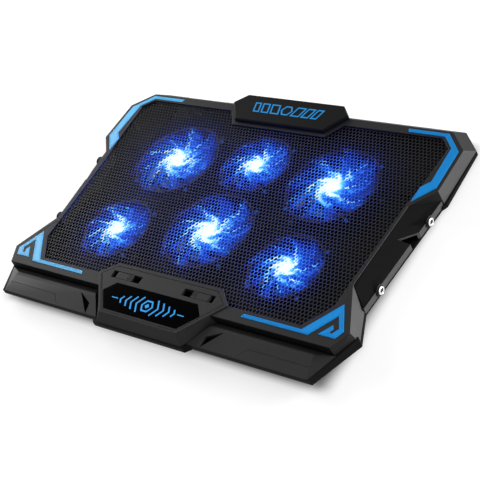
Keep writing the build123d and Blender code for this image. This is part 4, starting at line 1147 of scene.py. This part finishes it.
@dataclass
class RearBadge(Assembly):
    """The raised plate at the rear, with a generic lit ornament in the place of lettering.

    A bar is a place and a width, on the right half.
    """

    edge: float = 0.35
    stroke: float = 1.5
    relief: float = 0.15
    middle_y: float = 239.0
    half_height: float = 5.6
    hexagon_share: float = 1.1
    slant: float = 3.2
    bars: tuple[Flat, ...] = ((14.0, 9.0), (26.0, 7.5), (36.5, 6.0))

    def build(self) -> None:
        """Make the plate and its ornament."""
        self.shell("badge_plate", "rear_badge_plate", self.edge, "case_plastic", finish="badge_plastic")
        high = DECK.top_of("rear_badge_plate") + self.relief
        low, reach = high - 2 * self.relief, self.half_height
        bm = bmesh.new()
        paths = [hexagon(reach * self.hexagon_share, self.middle_y)]
        for side in Side:
            for x, width in self.bars:
                paths.append(side.flip([
                    (x + (across * width + up * self.slant) / 2, self.middle_y + up * reach)
                    for across, up in ((-1, -1), (1, -1), (1, 1), (-1, 1))]))
        for path in paths:
            add_band(bm, path, self.stroke, low, high, closed=True)
        self.fit(publish("badge_ornament", bm), "blue_plastic", finish="badge_blue")


@dataclass
class Inlays(Assembly):
    """The blue corner inlays, rounded, each with a fine contour set inside its edge."""

    edge: float = 0.22
    contour_set: float = 1.15
    contour: float = 0.32
    contour_depth: float = 0.3

    def build(self) -> None:
        """Make all four inlays, the left ones painted paler, a painted sheen."""
        for node, side in [(f"inlay_{place}_{side.word}", side) for place in ("rear", "front") for side in Side]:
            rim = rim_of(node)
            area = sum(x0 * y1 - x1 * y0 for (x0, y0), (x1, y1) in zip(rim, rim[1:] + rim[:1]))
            path = offsets(rim, math.copysign(self.contour_set, area), True)
            cutter = grooves([path], self.contour, self.contour_depth, DECK.top_of(node), closed=True)
            # The left inlays take the paler copy of the blue: painted sheen.
            self.shell(f"corner_{node}", node, self.edge, "blue_plastic", cutter,
                       finish="blue_plastic" if side is Side.RIGHT else "blue_plastic_painted_sheen")


@dataclass
class Hardware(Assembly):
    """Screws, feet and legs.

    Profiles are radius and height pairs, in a cross screw's head as shares of its radius. Its recess is
    a share of that radius, a width and a height, of which half lies in the head.
    """

    segments: int = 32
    ring: tuple[Flat, ...] = ((0, 0.9), (2.0, 0.9), (2.1, 1.7), (2.5, 2.0), (3.2, 2.0), (3.7, 1.7), (3.9, 1.1),
                              (3.9, 0.2), (1.4, 0.2), (1.4, -12.5), (0, -12.5))
    ring_core: tuple[Flat, ...] = ((0, 1.5), (1.5, 1.5), (1.9, 1.2), (1.9, 0.85), (0, 0.85))
    ring_collar: tuple[Flat, ...] = ((3.85, 0.0), (3.85, 1.25), (4.3, 1.25), (4.6, 0.95), (4.6, 0.0), (3.85, 0.0))
    ring_height: float = 2.0
    head: tuple[Flat, ...] = ((0, 0), (0.6, -0.05), (0.9, -0.3), (1, -0.7), (1, -1.2))
    shaft_radius: float = 1.15
    recess: Place = (1.25, 0.6, 1.4)
    tread: tuple[Flat, ...] = (
        (0, 0.45), (2.2, 0.45), (2.5, 0.1), (3.1, 0.1), (3.4, 0.45), (4.6, 0.45), (4.9, 0.1), (5.5, 0.1),
        (5.8, 0.3), (6.2, 0.0), (7.0, 0.0), (7.7, 0.35), (8.0, 1.0), (8.0, 3.7), (7.8, 3.95), (2.9, 4.0))
    leg_edge: float = 0.3
    pad_edge: float = 0.35

    def build(self) -> None:
        """Make all fasteners and what touches the desk."""
        self.build_ring_screws()
        self.build_cross_screws("case_screws", -1, "steel")
        self.build_cross_screws("fan_screws", 1, "dark_steel")
        self.build_feet()
        for side in Side:
            body = f"kickstand_{side.word}"
            self.shell(f"leg_shell_{side.word}", f"kickstand_leg_{side.word}", self.leg_edge, "fan_plastic", body=body)
            self.shell(f"leg_pad_{side.word}", f"leg_tip_{side.word}", self.pad_edge, "rubber", body=body)

    def build_ring_screws(self) -> None:
        """Make the bright rings at the skirts, each with a dark core and collar."""
        rings, cores = bmesh.new(), bmesh.new()
        for low, high in islands("skirt_screws"):
            out = 1 if low.x > 0 else -1
            seat = (high.x if out > 0 else low.x) - out * self.ring_height * MM
            place = Matrix.Translation((seat, (low.y + high.y) / 2, (low.z + high.z) / 2))
            place @= Matrix.Rotation(out * math.pi / 2, 4, "Y")
            for bm, profile in ((rings, self.ring), (cores, self.ring_core), (cores, self.ring_collar)):
                add_lathe(bm, profile, place, self.segments)
        self.fit(publish("ring_screws", rings), "chrome_ring", "skirt_screws")
        self.fit(publish("ring_screw_cores", cores), "fan_plastic")

    def build_cross_screws(self, node: str, up: int, finish: str) -> None:
        """Make pan-head screws with a cross recess.

        Args:
            node: The CAD node with the plain screws.
            up: 1 if their heads are at the top, -1 if at the bottom.
            finish: Their finish.
        """
        bm, recesses = bmesh.new(), bmesh.new()
        long, width, depth = self.recess
        for low, high in islands(node):
            radius, length = (high.x - low.x) / 2 / MM, (high.z - low.z) / MM
            shaft = [(self.shaft_radius, self.head[-1][1]), (self.shaft_radius, -length), (0, -length)]
            profile = [(radius * share, height) for share, height in self.head] + shaft
            end = ((low.x + high.x) / 2, (low.y + high.y) / 2, high.z if up > 0 else low.z)
            place = Matrix.Translation(end) @ Matrix.Rotation(0 if up > 0 else math.pi, 4, "X")
            add_lathe(bm, profile, place, self.segments // 2)
            bar = Matrix.Diagonal((long * radius * MM, width * MM, depth * MM, 1.0))
            for turn in (math.pi / 4, -math.pi / 4):
                bmesh.ops.create_cube(recesses, size=1.0, matrix=place @ Matrix.Rotation(turn, 4, "Z") @ bar)
        piece = publish(f"cross_{node}", bm)
        carve(piece, recesses)
        self.fit(piece, "steel", node, finish=finish)

    def build_feet(self) -> None:
        """Make the round feet with grip rings."""
        bm = bmesh.new()
        for low, high in islands("rubber_feet"):
            stem, top = self.tread[-1][0], (high.z - low.z) / MM
            place = Matrix.Translation(((low.x + high.x) / 2, (low.y + high.y) / 2, low.z))
            add_lathe(bm, [*self.tread, (stem, top), (0, top)], place, self.segments)
        self.fit(publish("grip_feet", bm), "rubber", "rubber_feet")


@dataclass
class RearControls(Assembly):
    """What the rear bay's CAD pieces leave out: the contacts in the sockets.

    A contact is a length, a width and a thickness. The tongue's face is its underside, measured down
    from the socket's top.
    """

    contact: Place = (6.5, 1.1, 0.25)
    contact_pitch: float = 2.3
    contact_set: float = 2.2
    contact_sink: float = 0.05
    tongue_face: float = 2.7

    def build(self) -> None:
        """Add the sockets' contacts."""
        bm = bmesh.new()
        length, width, thickness = self.contact
        for number in (1, 2):
            low, high = (DECK.read(corner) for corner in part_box(f"usb_socket_{number}"))
            end, under = high[1] - self.contact_set, high[2] - self.tongue_face
            for k in (-1.5, -0.5, 0.5, 1.5):
                x = (low[0] + high[0]) / 2 + k * self.contact_pitch
                add_band(bm, [(x, end - length), (x, end)], width, under - thickness, under + self.contact_sink)
        self.fit(publish("socket_contacts", bm), "bronze")


def dress_nodes(finishes: Finishes) -> None:
    """Give each CAD node that stays in view the finish of its slot.

    Args:
        finishes: The pad's finishes.
    """
    for part in frame["record"]["subparts"]:
        node = part["node"]
        name = node.removeprefix("fan_") if node.startswith("fan_rotor_") else part["material_slot"]
        materials = frame["nodes"][node].data.materials
        materials.clear()
        materials.append(finishes.get(name))


# ---- studio
@dataclass(frozen=True)
class SoftLight:
    """A square studio light: its place and its width in metres, its power in watts."""

    name: str
    place: Place
    width: float
    power: float

    def build(self) -> None:
        """Make the light, aimed at the part."""
        lamp = bpy.data.lights.new(self.name, "AREA")
        lamp.size, lamp.energy = self.width, self.power
        holder = link(self.name, lamp)
        holder.location = self.place
        holder.rotation_mode = "QUATERNION"
        holder.rotation_quaternion = (-Vector(self.place)).to_track_quat("-Z", "Y")


@dataclass
class Studio:
    """Camera, lights, world and a pale floor, in metres, with the lens and its sensor in millimetres.

    The floor's own light fades out beneath the part, over the outer part of its half width and depth.
    """

    eye: Place = (0.7038, -0.5037, 0.7137)
    target: Place = (0.0449, -0.0304, 0.024)
    roll: float = 29.73
    lens: float = 90.0
    sensor: float = 36.0
    clip: Flat = (0.05, 20.0)
    floor_half: float = 3.0
    floor_colour: float = 0.8
    floor_seen: float = 0.55
    floor_glow: float = 0.62
    floor_grain: float = 0.01
    floor_fade: float = 0.9
    fill: float = 0.24
    lights: tuple[SoftLight, ...] = (
        SoftLight("side_key", (1.76, 1.25, 0.42), 1.1, 58.0),
        SoftLight("left_sheen", (-2.1, 0.6, 0.8), 1.3, 40.0),
        SoftLight("top_fill", (0.2, -0.4, 2.4), 1.6, 8.0),
    )
    fan_power: float = 0.4
    fan_colour: Colour = (0.02, 0.1, 1.0)
    fan_radius: float = 0.006
    fan_depth: float = 0.0015

    def build(self) -> None:
        """Make the whole studio."""
        self.build_camera()
        self.build_floor()
        self.build_world()
        for light in self.lights:
            light.build()
        bpy.context.scene.view_settings.view_transform = "Standard"

    def build_camera(self) -> None:
        """Make the camera and lean it by its roll."""
        eye, target = Vector(self.eye), Vector(self.target)
        level = (target - eye).to_track_quat("-Z", "Y").to_matrix()
        lens = bpy.data.cameras.new("camera")
        lens.lens, lens.sensor_width = self.lens, self.sensor
        lens.clip_start, lens.clip_end = self.clip
        camera = link("camera", lens)
        turn = Matrix.Rotation(math.radians(-self.roll), 3, "Z")
        camera.matrix_world = Matrix.Translation(eye) @ (level @ turn).to_4x4()
        bpy.context.scene.camera = camera

    @staticmethod
    def seen(g: Graph) -> Value:
        """Find which rays show the backdrop: those to the camera, off metal and through glass.

        Args:
            g: The material's graph.

        Returns:
            1 for those rays, 0 for others.
        """
        path = g.add("LightPath")
        mirrored = g.math("MAXIMUM", path["Is Glossy Ray"], path["Is Transmission Ray"])
        return g.math("MAXIMUM", path["Is Camera Ray"], mirrored)

    def build_floor(self) -> None:
        """Make the floor, which shows nearly white and keeps the part's shadow."""
        bm = bmesh.new()
        size = self.floor_half
        bm.faces.new([bm.verts.new((x * size, y * size, 0.0)) for x, y in ((-1, -1), (1, -1), (1, 1), (-1, 1))])
        floor = publish("floor", bm)
        material, g = start_material("floor")
        grain, seen = g.ramp(g.noise(3.0, 2.0), 0.3, 0.7), self.seen(g)
        pale = g.mix(grain, *((self.floor_colour + shift,) * 3 for shift in (-self.floor_grain, self.floor_grain)))
        place = g.add("SeparateXYZ", {"Vector": g.add("TexCoord")["Object"]})
        over_x, over_y = (g.ramp(g.math("ABSOLUTE", place[axis]), abs(edge), abs(edge) * self.floor_fade)
                          for axis, edge in zip("XY", CAD_BOX[0]))
        g.show({
            "Base Color": g.mix(seen, pale, (self.floor_seen,) * 3),
            "Emission Color": g.mix(seen * (1.0 - over_x * over_y), BLACK, (self.floor_glow,) * 3),
            "Emission Strength": 1.0, "Roughness": 0.8,
        })
        floor.data.materials.append(material)

    def build_world(self) -> None:
        """Make the world: soft fill for the part, white for what the camera sees."""
        world = bpy.data.worlds.new("world")
        bpy.context.scene.world = world
        world.use_nodes = True
        g = Graph(world.node_tree)
        back = g.add("Background", {"Color": g.mix(self.seen(g), (self.fill,) * 3, WHITE), "Strength": 1.0})
        g.add("OutputWorld", {"Surface": back["Background"]})

    def light_fans(self, fans: Sequence[FanLight]) -> None:
        """Put one blue lamp inside each fan, under the mesh.

        Args:
            fans: Where the fans' lights are.
        """
        for fan in fans:
            lamp = bpy.data.lights.new(f"lamp_{fan.name}", "POINT")
            lamp.energy, lamp.color, lamp.shadow_soft_size = self.fan_power, self.fan_colour, self.fan_radius
            holder = link(lamp.name, lamp)
            holder.location = (fan.middle.x, fan.middle.y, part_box("mesh_panel")[0].z - self.fan_depth)
            holder.visible_camera = False


def main() -> None:
    """Build the studio and the pad, sub-assembly by sub-assembly."""
    logging.basicConfig(level=logging.INFO, format="%(message)s")
    lights, studio = fan_lights(), Studio()
    studio.build()
    studio.light_fans(lights)
    finishes = Finishes(lights)
    dress_nodes(finishes)
    for assembly in (MeshSheet, CaseShells, FrontModule, RearBadge, Inlays, Hardware, RearControls):
        assembly(finishes).build()
        LOG.info("built %s", assembly.__name__)


if __name__ == "__main__":
    main()
